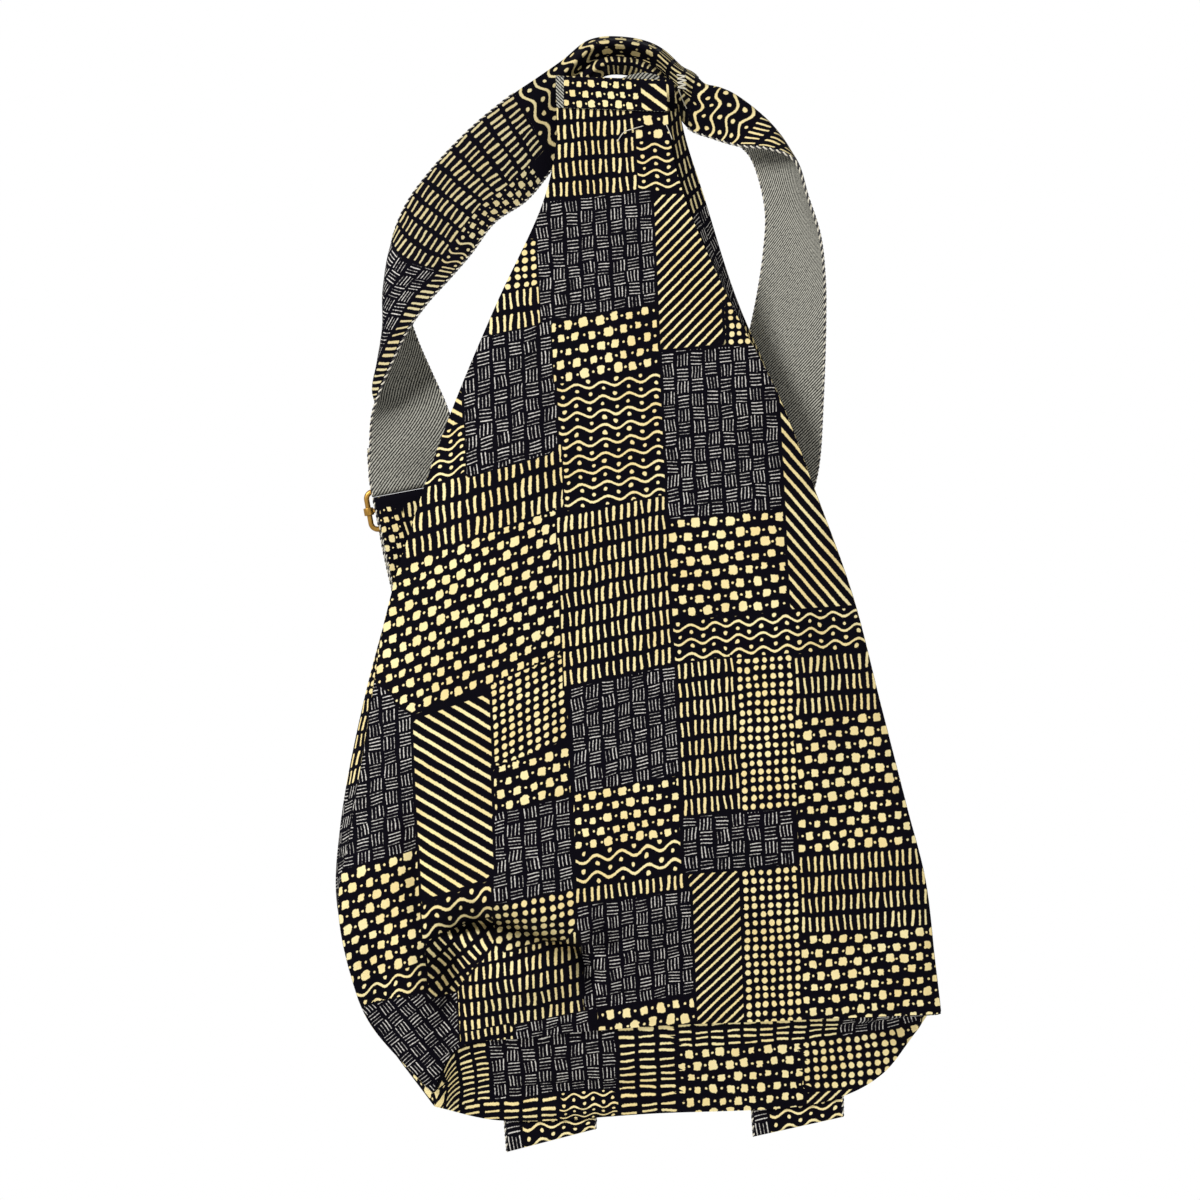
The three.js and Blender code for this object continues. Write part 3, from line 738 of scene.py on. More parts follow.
def make_printed_denim():
    """Near-black denim with cream marks, drawn patch by patch with an uneven hand, the marks of the straps
    and loop dimmed by painted shade.
    """
    material, g, shader = new_material("printed_denim", roughness=0.88, specular=0.06)
    cloth = g.uv("cloth")
    place = g.split(g.uv("print"))
    elsewhere = g.join(*g.split(cloth)[:2], 7.0)
    wobble_x = g.sub(g.noise(cloth, WOBBLE_SCALE, detail=1.0), 0.5)
    wobble_y = g.sub(g.noise(elsewhere, WOBBLE_SCALE, detail=1.0), 0.5)
    x = g.mul_add(wobble_x, WOBBLE, place[0])
    y = g.mul_add(wobble_y, WOBBLE, place[1])
    steady = g.mul_add(wobble_y, WOBBLE / 2, place[1])
    drawn = [
        dash_marks(g, x, y, MARK_PITCH["dashes"]),
        blob_marks(g, x, y, MARK_PITCH["blobs"]),
        wave_marks(g, x, y, MARK_PITCH["waves"]),
        basket_marks(g, x, y, MARK_PITCH["basket"]),
        slash_marks(g, place[0], steady, rise=-0.9, pitch=4.0, thickness=1.1),
        slash_marks(g, place[0], steady, rise=0.95, pitch=5.0, thickness=1.55),
        dot_marks(g, x, y, MARK_PITCH["dots"]),
    ]
    kind = g.attribute("marks")
    distance = drawn[0]
    for number, marks in enumerate(drawn[1:], start=1):
        distance = g.blend(g.math("COMPARE", kind, float(number), 0.5), distance, marks)
    ragged = shaken(g, distance, g.noise(cloth, scale=0.9), RAGGED)
    slashed = g.math("COMPARE", kind, MARKS.index("slashes_up") + 0.5, 0.6)
    border = g.sub(g.blend(slashed, BORDER, SLASH_BORDER), g.attribute("inset"))
    ink = g.ramp(g.math("MAXIMUM", ragged, border), -INK_EDGE, INK_EDGE, 1.0, 0.0)
    patchy = g.ramp(g.noise(cloth, scale=0.035, detail=3.0), 0.35, 0.65)
    cream = g.blend(patchy, srgb(243, 220, 156), srgb(250, 234, 176), "RGBA")
    # Painted shade: the marks of the straps and the loop are dimmed toward a shaded cream, most on the left
    # strap and least on the right
    cream = g.blend(g.attribute("painted_shade"), cream, srgb(150, 144, 120), "RGBA")
    fine = g.math("COMPARE", kind, float(MARKS.index("basket")), 0.5)
    cream = g.blend(fine, cream, srgb(222, 218, 211), "RGBA")
    ground = g.blend(g.noise(cloth, scale=0.05), srgb(3, 2, 7), srgb(7, 5, 14), "RGBA")
    g.feed(shader.inputs["Base Color"], g.blend(ink, ground, cream, "RGBA"))
    relief = g.mul_add(ink, INK_RELIEF, twill_ribs(g, cloth, pitch=0.9))
    add_bump(g, shader, relief, strength=0.25, distance=0.2)
    return material


def twill_ribs(g, cloth, pitch):
    """Slanting ribs of a twill, from 0 in the grooves to 1 on the ribs."""
    x, y, _ = g.split(cloth)
    slant = g.mul(g.add(x, y), math.sqrt(0.5))
    return g.mul_add(g.math("SINE", g.mul(slant, 2 * math.pi / pitch)), 0.5, 0.5)


def make_denim_reverse():
    """The grey reverse: pale slanting threads over dark ones, with specks."""
    material, g, shader = new_material("denim_reverse", roughness=0.95, specular=0.15)
    cloth = g.uv("cloth")
    slubs = g.noise(cloth, scale=0.7, detail=3.0)
    specks = g.ramp(g.noise(cloth, scale=1.3, detail=0.0), 0.27, 0.33, 0.8, 0.0)
    thread = shaken(g, twill_ribs(g, cloth, pitch=1.4), slubs, 1.1)
    tone = g.blend(g.ramp(thread, 0.15, 0.9), srgb(38, 38, 36), srgb(186, 184, 172), "RGBA")
    g.feed(shader.inputs["Base Color"], g.blend(specks, tone, srgb(36, 35, 38), "RGBA"))
    add_bump(g, shader, thread, strength=0.5, distance=0.3)
    return material


def make_brass_wire():
    """Drawn brass wire, darkened in patches by handling."""
    material, g, shader = new_material("brass_wire")
    tarnish = g.noise(g.object_place(), scale=240.0, detail=4.0)
    g.feed(shader.inputs["Base Color"], g.blend(tarnish, srgb(88, 63, 28), srgb(190, 146, 70), "RGBA"))
    g.feed(shader.inputs["Roughness"], g.ramp(tarnish, 0.3, 0.7, 0.42, 0.24))
    shader.inputs["Metallic"].default_value = 1.0
    return material


def make_thread(name, dark, pale):
    """Spun thread, lighter and darker along its length."""
    material, g, shader = new_material(name, roughness=0.9)
    spun = g.noise(g.object_place(), scale=900.0, detail=3.0)
    g.feed(shader.inputs["Base Color"], g.blend(spun, dark, pale, "RGBA"))
    return material


printed_denim = make_printed_denim()
denim_reverse = make_denim_reverse()
brass_wire = make_brass_wire()
pale_thread = make_thread("pale_thread", srgb(188, 182, 165), srgb(236, 230, 214))
dark_thread = make_thread("dark_thread", srgb(22, 21, 28), srgb(58, 56, 58))


# Panels
def partways(drop, length, *shares):
    return [drop + length * share for share in shares]


UPPER_STATIONS = [
    *partways(NECK_DROP, NECK_LENGTH, 0, 0.5),
    *partways(NECK_END, MOUTH_LENGTH, 0, 0.25, 0.5, 0.75),
]
STATIONS = [
    *UPPER_STATIONS,
    *partways(MOUTH_END, HIP_LENGTH, 0, 0.4, 0.75),
    *partways(HIP_END, SKIRT_LENGTH, 0, 0.6, 0.9),
]
MOUTH_SHARE = len(UPPER_STATIONS) / len(STATIONS)


def half_width_at(drop):
    if drop < NECK_END:
        t = (drop - NECK_DROP) / NECK_LENGTH
        return NECK_HALF + NECK_FLARE * t**3
    if drop < MOUTH_END:
        t = (drop - NECK_END) / MOUTH_LENGTH
        return mix(NECK_HALF + NECK_FLARE, MOUTH_HALF, t) + SLOPE_BOW * math.sin(math.pi * t)
    if drop < HIP_END:
        return mix(MOUTH_HALF, HIP_HALF, (drop - MOUTH_END) / HIP_LENGTH)
    return mix(HIP_HALF, SKIRT_HALF, (drop - HIP_END) / SKIRT_LENGTH)


def edge_x(side, drop):
    shift = mix(NECK_SHIFT, -HIP_SHIFT, smooth(drop, NECK_DROP, MOUTH_END))
    low = min(max((drop - HIP_END) / SKIRT_LENGTH, 0), 1)
    hollow = RIGHT_HOLLOW * bell((drop - NECK_END - MOUTH_LENGTH / 5) / (MOUTH_LENGTH / 7))
    drawn = LEFT_PULL * low * low if side < 0 else HIP_SHIFT * low - hollow
    return shift + side * half_width_at(drop) + drawn


def depth_at(drop, at_neck, at_hip, at_base):
    upper = smooth(drop, NECK_END, HIP_END)
    lower = smooth(drop, HIP_END, FRONT_DROP)
    return mix(mix(at_neck, at_hip, upper), at_base, lower)


FRONT_LEFT = (edge_x(-1, FRONT_DROP) + CORNER_REACH, BASE_FRONT_Y, -FRONT_DROP - CORNER_SAG)
FRONT_RIGHT = (edge_x(1, FRONT_DROP), BASE_FRONT_Y, -FRONT_DROP)
BACK_LEFT = (FRONT_LEFT[0], BASE_BACK_Y, -BACK_DROP + ROUND_CORNER / 5)
BACK_RIGHT = (FRONT_RIGHT[0] - ROUND_CORNER / 4, BASE_BACK_Y, -FRONT_DROP - BASE_DROOP / 5)


def front_edge(side, corner):
    edge = [(edge_x(side, d), depth_at(d, NECK_FRONT_Y, HIP_FRONT_Y, BASE_FRONT_Y), -d) for d in STATIONS]
    return edge + [corner]


def back_edge(side, corner):
    edge = []
    for drop in STATIONS:
        lean = BACK_LEAN * bell((drop - MOUTH_END - BACK_LEAN_PLACE) / BACK_LEAN_SPREAD)
        turn = NECK_TURN * bell((drop - NECK_END) / NECK_LENGTH)
        inset = MOUTH_INSET if drop < MOUTH_END else 0
        x = edge_x(side, drop) + (inset if side < 0 else turn) - lean
        edge.append((x, depth_at(drop, NECK_BACK_Y, HIP_BACK_Y, BASE_BACK_Y), -drop))
    return edge + [corner]


class Panel:
    """A surface spanned between four edges."""

    def __init__(self, left, right, bottom):
        self.left = Route(left)
        self.right = Route(right)
        self.top = Route([left[0], right[0]])
        self.bottom = Route([left[-1], *bottom, right[-1]])

    def at(self, u, v):
        u, v = np.broadcast_arrays(u, v)
        shape = u.shape
        u, v = u.ravel(), v.ravel()
        a, b = u[:, None], v[:, None]
        sides = self.left.at(v) * (1 - a) + self.right.at(v) * a
        ends = self.top.at(u) * (1 - b) + self.bottom.at(u) * b
        top = self.top.points[0] * (1 - a) + self.top.points[-1] * a
        base = self.bottom.points[0] * (1 - a) + self.bottom.points[-1] * a
        return (sides + ends - top * (1 - b) - base * b).reshape(*shape, 3)

    def grid(self, across, shares):
        """Places so many across and at the given shares of the left edge, with the points there."""
        u = np.linspace(0, 1, across + 1)[None, :]
        v = self.left.share(shares)[:, None]
        return u, v, self.at(u, v)


BASE_MIDDLE = SKIRT_HALF * 0.4
CREASE_X = FRONT_LEFT[0] + CORNER_REACH / 2
front_panel = Panel(
    front_edge(-1, FRONT_LEFT),
    front_edge(1, FRONT_RIGHT),
    [
        (CREASE_X, BASE_FRONT_Y, -FRONT_DROP - CORNER_SAG / 4),
        (-BASE_MIDDLE, BASE_FRONT_Y, -FRONT_DROP - CORNER_SAG / 10),
        (0, BASE_FRONT_Y, -FRONT_DROP),
        (BASE_MIDDLE, BASE_FRONT_Y, -FRONT_DROP),
    ],
)
back_panel = Panel(
    back_edge(-1, BACK_LEFT),
    back_edge(1, BACK_RIGHT),
    [
        (-BASE_MIDDLE * 1.3, BASE_BACK_Y, -BACK_DROP),
        (0, BASE_BACK_Y, -BACK_DROP),
        (BASE_MIDDLE * 1.5, BASE_BACK_Y, -BACK_DROP + ROUND_CORNER / 20),
        (SKIRT_HALF - ROUND_CORNER / 1.4, BASE_BACK_Y, -BACK_DROP + ROUND_CORNER / 3),
    ],
)

# Creases of the front panel, as points in X and Z. A crease of negative depth stands forward.
Crease = namedtuple("Crease", "points depth width")
SAG_VALLEY = Crease(
    [
        (-118, -470), (-104, -464), (-90, -462), (-75, -465), (-61, -471),
        (-46, -476), (-35, -481), (-29, -492), (-27, -508),
    ],
    19, 4.8,
)
FRONT_CREASES = [
    SAG_VALLEY,
    # The pulls at the valley's ends and the underside of its lip
    Crease([(-44, -476), (-28, -477), (-8, -473)], 6, 6),
    Crease([(-121, -395), (-119, -430), (-117, -470)], 5, 7),
    Crease([(-108, -459), (-90, -455), (-75, -458), (-61, -464), (-44, -468), (-30, -470)], 9, 7),
    # The left side of the pouch and the corner beside it
    Crease([(-106, -466), (-104, -495), (-105, -535)], 17, 9),
    Crease([(-130, -455), (-126, -490), (-124, -540)], -6, 11),
    # The long soft folds of the front
    Crease([(-36, -300), (-35, -360), (-38, -430)], 1.5, 9),
    Crease([(-30, -140), (-60, -230), (-70, -320)], -2, 22),
    Crease([(60, -150), (90, -280), (100, -420)], -2.5, 26),
]
CREASE_TAPER = 0.2
LIP_SWELL = 11
LIP_RISE = 15
LIP_WIDTH = 12
POUCH_PLACE = (-66, -495)
POUCH_SPREAD = (34, 22)
POUCH_SWELL = 11
SEAM_FADE = 0.12
SEAM_ROLL = 1.8
SEAM_ROLL_WIDTH = 4

# Ripples of the front: how high they are, and the lengths that their angles run over
WIDE_RIPPLE = 1.1
WIDE_ACROSS, WIDE_DOWN, WIDE_START = 31, 58, 1.3
WANDER, WANDER_DOWN = 0.4, 47
CLOSE_RIPPLE = 0.45
CLOSE_ACROSS = (13, 67)
CLOSE_DOWN = (29, 21)


def way_to(line, x, z):
    """Distance to a line of points, and the share of its run where the nearest point lies."""
    line = np.array(line, float)
    best = np.full(x.shape, np.inf)
    share = np.zeros(x.shape)
    run = run_of(line)
    run = run / run[-1]
    for i, (a, b) in enumerate(zip(line[:-1], line[1:])):
        d = b - a
        t = np.clip(((x - a[0]) * d[0] + (z - a[1]) * d[1]) / (d @ d), 0, 1)
        away = np.hypot(x - a[0] - d[0] * t, z - a[1] - d[1] * t)
        nearer = away < best
        best = np.where(nearer, away, best)
        share = np.where(nearer, mix(run[i], run[i + 1], t), share)
    return best, share


def front_folds(x, z):
    """How far the creases, the lip and the pouch stand forward."""
    forward = POUCH_SWELL * bell((x - POUCH_PLACE[0]) / POUCH_SPREAD[0])
    forward = forward * bell((z - POUCH_PLACE[1]) / POUCH_SPREAD[1])
    for crease in FRONT_CREASES:
        away, share = way_to(crease.points, x, z)
        taper = smooth(share, 0, CREASE_TAPER) * (1 - smooth(share, 1 - CREASE_TAPER, 1))
        forward = forward - crease.depth * taper * bell(away / crease.width)
    lip = [(px, pz + LIP_RISE) for px, pz in SAG_VALLEY.points]
    away, share = way_to(lip, x, z)
    return forward + LIP_SWELL * np.sin(math.pi * share) * bell(away / LIP_WIDTH)


def soft_ripple(x, z):
    """The slight unevenness of worn cloth that hangs."""
    wide = np.sin(x / WIDE_ACROSS + WANDER * np.sin(z / WANDER_DOWN))
    wide = wide * np.sin(z / WIDE_DOWN + WIDE_START)
    close = np.sin(x / CLOSE_ACROSS[0] - z / CLOSE_DOWN[0])
    close = close * np.sin(x / CLOSE_ACROSS[1] + z / CLOSE_DOWN[1])
    return WIDE_RIPPLE * wide + CLOSE_RIPPLE * close


FRONT_COLUMNS, FRONT_ROWS = 150, 244


def make_front():
    u, v, points = front_panel.grid(FRONT_COLUMNS, np.linspace(1, 0, FRONT_ROWS + 1))
    x, z = points[..., 0], points[..., 2]
    flat = np.stack([x, z], axis=-1)
    middle = 4 * u * (1 - u)
    rise = smooth(-z, NECK_END, MOUTH_END + HIP_LENGTH / 2)
    fall = 1 - smooth(-z, HIP_END, FRONT_DROP)
    off_seam = smooth(middle, 0, 3 * SEAM_FADE) * smooth(1 - v, 0, SEAM_FADE)
    swell = BELLY_SWELL * middle * rise * fall + front_folds(x, z) * off_seam
    to_seam = np.minimum(points[:, -1:, 0] - x, z - points[:1, :, 2])
    swell += SEAM_ROLL * (1 - bell(to_seam / SEAM_ROLL_WIDTH)) * smooth(-z, NECK_END, MOUTH_END)
    points[..., 1] -= swell + soft_ripple(x, z) * off_seam * smooth(-z, NECK_DROP, MOUTH_END)
    cloth = make_cloth("front_cloth", points, flat, FRONT_PATCHWORK)
    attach(cloth, "bag")
    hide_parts("front_panel")


BACK_COLUMNS, BACK_ROWS = 90, 150
BACK_PEAK = 6
BACK_PEAK_X = 20
BACK_DRAW = 0.87


def make_back():
    _, v, points = back_panel.grid(BACK_COLUMNS, np.linspace(0, 1, BACK_ROWS + 1))
    x, z = points[..., 0], points[..., 2]
    flat = np.stack([(NECK_SHIFT - x) * BACK_DRAW, (z + NECK_DROP) * BACK_DRAW - BAND_FRONT], axis=-1)
    peak = bell((x - BACK_PEAK_X) / (NECK_HALF / 2)) * (1 - smooth(v, 0, MOUTH_SHARE / 3))
    points[..., 2] += BACK_PEAK * peak
    cloth = make_cloth("back_cloth", points, flat, FRONT_PATCHWORK, edge=PRINTED_SIDE)
    turn_hem(cloth, PRINTED_SIDE, lambda middle: middle.x > NECK_HALF and middle.z > -NECK_END)
    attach(cloth, "bag")
    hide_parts("back_panel")


# Side strip: from the mouth's lower end, round the base and up to the neck
SIDE_COLUMNS, SIDE_ROWS = 16, 560
SEAM_STEPS = 4000
LEFT_END = 0.28
BASE_END = 0.6
STRIP_TOP = (BAND_FRONT + LAYER_STEP) / (NECK_LENGTH / 2) / len(STATIONS)

# Folds at the lower left of the base: the depth of each, its middle across the strip and its width
BaseFold = namedtuple("BaseFold", "depth middle width")
BASE_FOLDS = [BaseFold(5, 0.68, 0.12), BaseFold(-4, 0.88, 0.07)]
BASE_FOLDS_X = -55
BASE_FOLDS_SPREAD = 60


def seam_at(panel, s):
    left = panel.left.at(mix(MOUTH_SHARE, 1, np.clip(s / LEFT_END, 0, 1)))
    base = panel.bottom.at(np.clip((s - LEFT_END) / (BASE_END - LEFT_END), 0, 1))
    right = panel.right.at(mix(1, STRIP_TOP, np.clip((s - BASE_END) / (1 - BASE_END), 0, 1)))
    return np.where((s <= LEFT_END)[:, None], left, np.where((s <= BASE_END)[:, None], base, right))


def make_side_strip():
    fine = np.linspace(0, 1, SEAM_STEPS + 1)
    run = run_of(seam_at(front_panel, fine))
    way = np.linspace(0, run[-1], SIDE_ROWS + 1)
    s = np.interp(way, run, fine)
    w = np.linspace(0, 1, SIDE_COLUMNS + 1)[None, :]
    front = seam_at(front_panel, s)[:, None, :] + [0, LAYER_STEP, 0]
    back = seam_at(back_panel, s)[:, None, :] - [0, LAYER_STEP, 0]
    points = mix(front, back, w[..., None])
    place = points[..., 0].copy()
    inward = np.array([0, 0, -MOUTH_END]) - points
    inward[..., 1] = 0
    on_base = bell((2 * s - LEFT_END - BASE_END) / (BASE_END - LEFT_END))[:, None]
    pleat = PLEAT_DEPTH * (1 - on_base) * np.sin(math.pi * w) ** 2
    pleat = pleat * smooth(-points[..., 2], NECK_END, MOUTH_END)
    points += unit(inward) * pleat[..., None]
    low_left = on_base**3 * bell((points[..., 0] - BASE_FOLDS_X) / BASE_FOLDS_SPREAD)
    for fold in BASE_FOLDS:
        points[..., 1] += fold.depth * low_left * bell((w - fold.middle) / fold.width)
    left_corner, right_corner = np.interp([LEFT_END, BASE_END], fine, run)
    first, last = np.searchsorted(s, [LEFT_END, BASE_END])
    place[:first] = place[first]
    place[last:] = place[last]
    place += (np.minimum(way - left_corner, 0) + np.maximum(way - right_corner, 0))[:, None]
    seam = front_panel.bottom.at(np.linspace(0, 1, 400))
    below = np.interp(points[..., 0], seam[:, 0], seam[:, 2]) - points[..., 2]
    down = np.hypot(below, points[..., 1] - BASE_FRONT_Y)
    for side in (slice(None, first), slice(last, None)):
        down[side] = [run_of(row) for row in points[side]]
    flat = np.stack([place, -down], axis=-1)
    cloth = make_cloth("side_strip_cloth", points, flat, STRIP_PATCHWORK, edge=PRINTED_SIDE)
    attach(cloth, "bag")
    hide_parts("gusset")


def make_neck_band():
    across, legs, turns = 40, 10, 8
    angle = np.linspace(math.pi, 0, turns + 1)
    front_leg, back_leg = np.linspace(-BAND_FRONT, -1, legs), np.linspace(-1, -BAND_BACK, legs)
    ys = np.concatenate([np.full(legs, -LAYER_STEP), LAYER_STEP * np.cos(angle), np.full(legs, LAYER_STEP)])
    zs = np.concatenate([front_leg, LAYER_STEP * np.sin(angle), back_leg])
    u = np.linspace(0, 1, across + 1)
    v = np.maximum(-zs / (NECK_LENGTH / 2), 0) / len(STATIONS)
    points = front_panel.at(u[None, :], v[:, None])
    points[..., 1] += ys[:, None]
    points[..., 2] = -NECK_DROP + zs[:, None] - BAND_TILT * (points[..., 0] - NECK_SHIFT)
    along = run_of(np.stack([ys, zs], axis=-1)) - BAND_FRONT
    flat = np.stack(np.broadcast_arrays(points[..., 0], along[:, None]), axis=-1)
    cloth = make_cloth("neck_band_cloth", points, flat, BAND_PATCHWORK)
    turn_hem(cloth, REVERSE_SIDE, lambda middle: middle.x < NECK_SHIFT - NECK_HALF + BAND_RAW_END)
    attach(cloth, "bag")
    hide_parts("neck_band")


# Sliders
BAR_HALF = SLIDER_HEIGHT / 2 - WIRE_RADIUS
WIRE_TURN = WIRE_RADIUS + SEWN_GAP + CLOTH / 2
ROD_TURN = ROD_RADIUS + SEWN_GAP + CLOTH / 2
EYELET_BORE = WIRE_RADIUS + EYELET_PLAY
EYELET_OUTER = EYELET_BORE + EYELET_WALL
SLIDER_CORNER = STRAP_PLAY + EYELET_OUTER
SIDE_WIRE_X = STRAP_WIDTH / 2 + SLIDER_CORNER
WIRE_SEGMENTS = 64


class SliderPlace:
    """Where a slider lies, read from its frame: its middle and the way that it slides."""

    def __init__(self, name):
        low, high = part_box(f"{name}_slider_frame")
        self.middle = np.array((low + high) / 2) / MM
        joint = next(j for j in frame["joints"] if j["name"] == f"{name}_slider_slide")
        self.up = unit(np.array(joint["axis"], float))
        self.bars = np.cross([0, 1, 0], self.up)

    def at(self, points):
        """Points of the slider's own frame: along its bars, to the back and up."""
        x, y, z = np.array(points, float).T[..., None]
        return self.middle + x * self.bars + y * np.array([0, 1, 0]) + z * self.up

    def matrix(self):
        turned = Matrix((self.bars, (0, 1, 0), self.up)).transposed().to_4x4()
        return Matrix.Translation(Vector(self.middle * MM)) @ turned


def apply_place():
    bpy.ops.object.transform_apply(location=True, rotation=True, scale=True)
    return bpy.context.object


def make_slider_wire(name, place):
    """A ring of wire, drawn out at its four quarters into a frame."""
    deselect_all()
    bpy.ops.mesh.primitive_torus_add(
        major_segments=WIRE_SEGMENTS, minor_segments=16, major_radius=SLIDER_CORNER * MM,
        minor_radius=WIRE_RADIUS * MM, rotation=(math.pi / 2, math.pi / WIRE_SEGMENTS, 0),
    )
    wire = apply_place()
    straight_x = (SIDE_WIRE_X - SLIDER_CORNER) * MM
    straight_z = (BAR_HALF - SLIDER_CORNER) * MM
    for vertex in wire.data.vertices:
        vertex.co.x += math.copysign(straight_x, vertex.co.x)
        vertex.co.z += math.copysign(straight_z, vertex.co.z)
    wire.data.transform(place.matrix())
    finish_metal(wire, f"{name}_slider_wire", f"{name}_slider", f"{name}_slider_frame")


def make_slider_rod(name, place):
    """The loose centre bar: a rod with an eyelet at each end."""
    deselect_all()
    reach = SIDE_WIRE_X - EYELET_BORE - EYELET_WALL / 2
    bpy.ops.mesh.primitive_cylinder_add(
        vertices=24, radius=ROD_RADIUS * MM, depth=2 * reach * MM, rotation=(0, math.pi / 2, 0)
    )
    rod = apply_place()
    for side in (-1, 1):
        deselect_all()
        bpy.ops.mesh.primitive_cylinder_add(
            vertices=32, radius=EYELET_OUTER * MM, depth=EYELET_HEIGHT * MM, end_fill_type="NOTHING",
            location=(side * SIDE_WIRE_X * MM, 0, 0),
        )
        eyelet = apply_place()
        apply_modifier(eyelet, "SOLIDIFY", thickness=EYELET_WALL * MM, offset=-1)
        apply_modifier(eyelet, "BEVEL", width=EYELET_WALL * 0.35 * MM, segments=3, limit_method="ANGLE")
        apply_modifier(rod, "BOOLEAN", object=eyelet, operation="UNION", solver="EXACT")
        bpy.data.objects.remove(eyelet)
    rod.data.transform(place.matrix())
    finish_metal(rod, f"{name}_slider_rod", f"{name}_bar", f"{name}_slider_bar")


def finish_metal(piece, name, body, node):
    rename(piece, name)
    piece.data.materials.clear()
    piece.data.materials.append(brass_wire)
    make_active(piece)
    bpy.ops.object.shade_smooth_by_angle(angle=METAL_CREASE_ANGLE)
    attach(piece, body)
    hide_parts(node)


# Threads
EDGE_RADIUS = 0.42
EDGE_TWIST = 4.2
EDGE_STEP = 0.7
THREAD_SIDES = 6
THREAD_MERGE = 0.02
ASIDE = (0.3, 1, 0.2)


def evenly(points, count):
    """The same line, with its points at even spaces."""
    line = np.array(points, float)
    return points_along(line, np.linspace(0, run_of(line)[-1], count + 1))


def every(points, spacing):
    return evenly(points, max(int(round(run_of(np.array(points))[-1] / spacing)), 1))


def ways_round(line):
    """Two ways square to a line of points and to each other."""
    heading = unit(np.gradient(line, axis=0))
    out = unit(np.cross(heading, ASIDE))
    return out, np.cross(heading, out)


def thread_tube(line, radius, material):
    """A round thread along a line of points."""
    out, over = ways_round(line)
    angle = 2 * math.pi * np.arange(THREAD_SIDES + 1) / THREAD_SIDES
    ring = out[:, None, :] * np.cos(angle)[None, :, None] + over[:, None, :] * np.sin(angle)[None, :, None]
    tube = cloth_grid("strand", line[:, None, :] + ring * radius)
    tube.data.materials.append(material)
    return tube


def join_threads(name, tubes):
    """One piece of thread tubes, with their ends closed."""
    make_active(tubes[0])
    for tube in tubes[1:]:
        tube.select_set(True)
    bpy.ops.object.join()
    threads = bpy.context.object
    rename(threads, name)
    bpy.ops.object.mode_set(mode="EDIT")
    bpy.ops.mesh.select_all(action="SELECT")
    bpy.ops.mesh.remove_doubles(threshold=THREAD_MERGE * MM)
    bpy.ops.mesh.fill_holes(sides=THREAD_SIDES)
    bpy.ops.mesh.normals_make_consistent(inside=False)
    bpy.ops.object.mode_set(mode="OBJECT")
    bpy.ops.object.shade_smooth()
    return threads


def make_edging(name, points):
    """Two strands of thread twisted along each edge of a strap, one pale and one dark."""
    tubes = []
    for edge in (points[:, 0], points[:, -1]):
        line = every(edge, EDGE_STEP)
        out, over = ways_round(line)
        turn = 2 * math.pi * np.arange(len(line)) * EDGE_STEP / EDGE_TWIST
        for strand, material in ((0, pale_thread), (math.pi, dark_thread)):
            swing = out * np.cos(turn + strand)[:, None] + over * np.sin(turn + strand)[:, None]
            tubes.append(thread_tube(line + EDGE_RADIUS * swing, EDGE_RADIUS * 1.1, material))
    return join_threads(name, tubes)


# Hand stitches at the right end of the neck, threads that have come loose there, and the mouth's hem
TACK_PLACE = (42, -9, -7)
TACK_SIZE = (5, 8)
TACK_PASSES = 7
STITCH_RADIUS = 0.45
LOOSE_RADIUS = 0.26
LOOSE_STEPS = 15
LOOSE_THREADS = [
    [(19.5, -21.4, -32), (14, -22.4, -33.5), (9, -22.2, -35), (5, -21.5, -40)],
    [(32, -21.4, -31.7), (33.5, -22, -35.5), (35, -21.6, -40)],
    [(40, -9.5, -11), (41.5, -10.5, -16), (44, -10, -22)],
]
HEM_SHARES = (0.37, 0.51)
HEM_INSET = 0.012
HEM_STEPS = 59
HEM_STITCH = 3
HEM_GAP = 1.6
HEM_STITCH_STEPS = 4


def make_neck_stitches():
    x, y, z = TACK_PLACE
    width, height = TACK_SIZE
    zigzag = []
    for step in range(TACK_PASSES + 1):
        share = step / TACK_PASSES
        aside = width / 2 if step % 2 else -width / 2
        zigzag.append((x + aside, y - math.sin(math.pi * share), z + height * (0.5 - share)))
    tubes = [thread_tube(every(zigzag, EDGE_STEP), STITCH_RADIUS, pale_thread)]
    for points in LOOSE_THREADS:
        line = Route(points).at(np.linspace(0, 1, LOOSE_STEPS + 1))
        tubes.append(thread_tube(line, LOOSE_RADIUS, pale_thread))
    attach(join_threads("neck_stitches", tubes), "bag")


def make_mouth_stitches():
    v = np.linspace(*HEM_SHARES, HEM_STEPS + 1)
    line = front_panel.at(np.full_like(v, HEM_INSET), v) - [0, CLOTH / 2 + LOOSE_RADIUS, 0]
    tubes = []
    for start in np.arange(0, run_of(line)[-1] - HEM_STITCH, HEM_STITCH + HEM_GAP):
        stitch = points_along(line, np.linspace(start, start + HEM_STITCH, HEM_STITCH_STEPS + 1))
        tubes.append(thread_tube(stitch, LOOSE_RADIUS, pale_thread))
    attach(join_threads("mouth_stitches", tubes), "bag")


# Straps
STRIP_COLUMNS = 48
STRIP_STEPS = (130, 100, 140)
BOW_STEPS = 60
# How strongly painted shade dims the marks of the left strap, the loop and the right strap
LEFT_PAINTED_SHADE, LOOP_PAINTED_SHADE, RIGHT_PAINTED_SHADE = 0.5, 0.3, 0.1
LOWER_COLUMNS = 26
RISE_STEPS = 139
TAIL_STEP = 2.2
TURN_STEPS = 14
STRAP_MEET = BAR_HALF + STRAP_TURN_BACK * 0.3
TURN_BACK_DRIFT = 2


def turn_round(z, radius, start, end, tall=1):
    """Points of a turn round a bar: none along it, then to the back and up."""
    angle = np.linspace(start, end, TURN_STEPS + 1)
    along = np.zeros_like(angle)
    return np.stack([along, radius * np.cos(angle), z + tall * radius * np.sin(angle)], axis=-1)


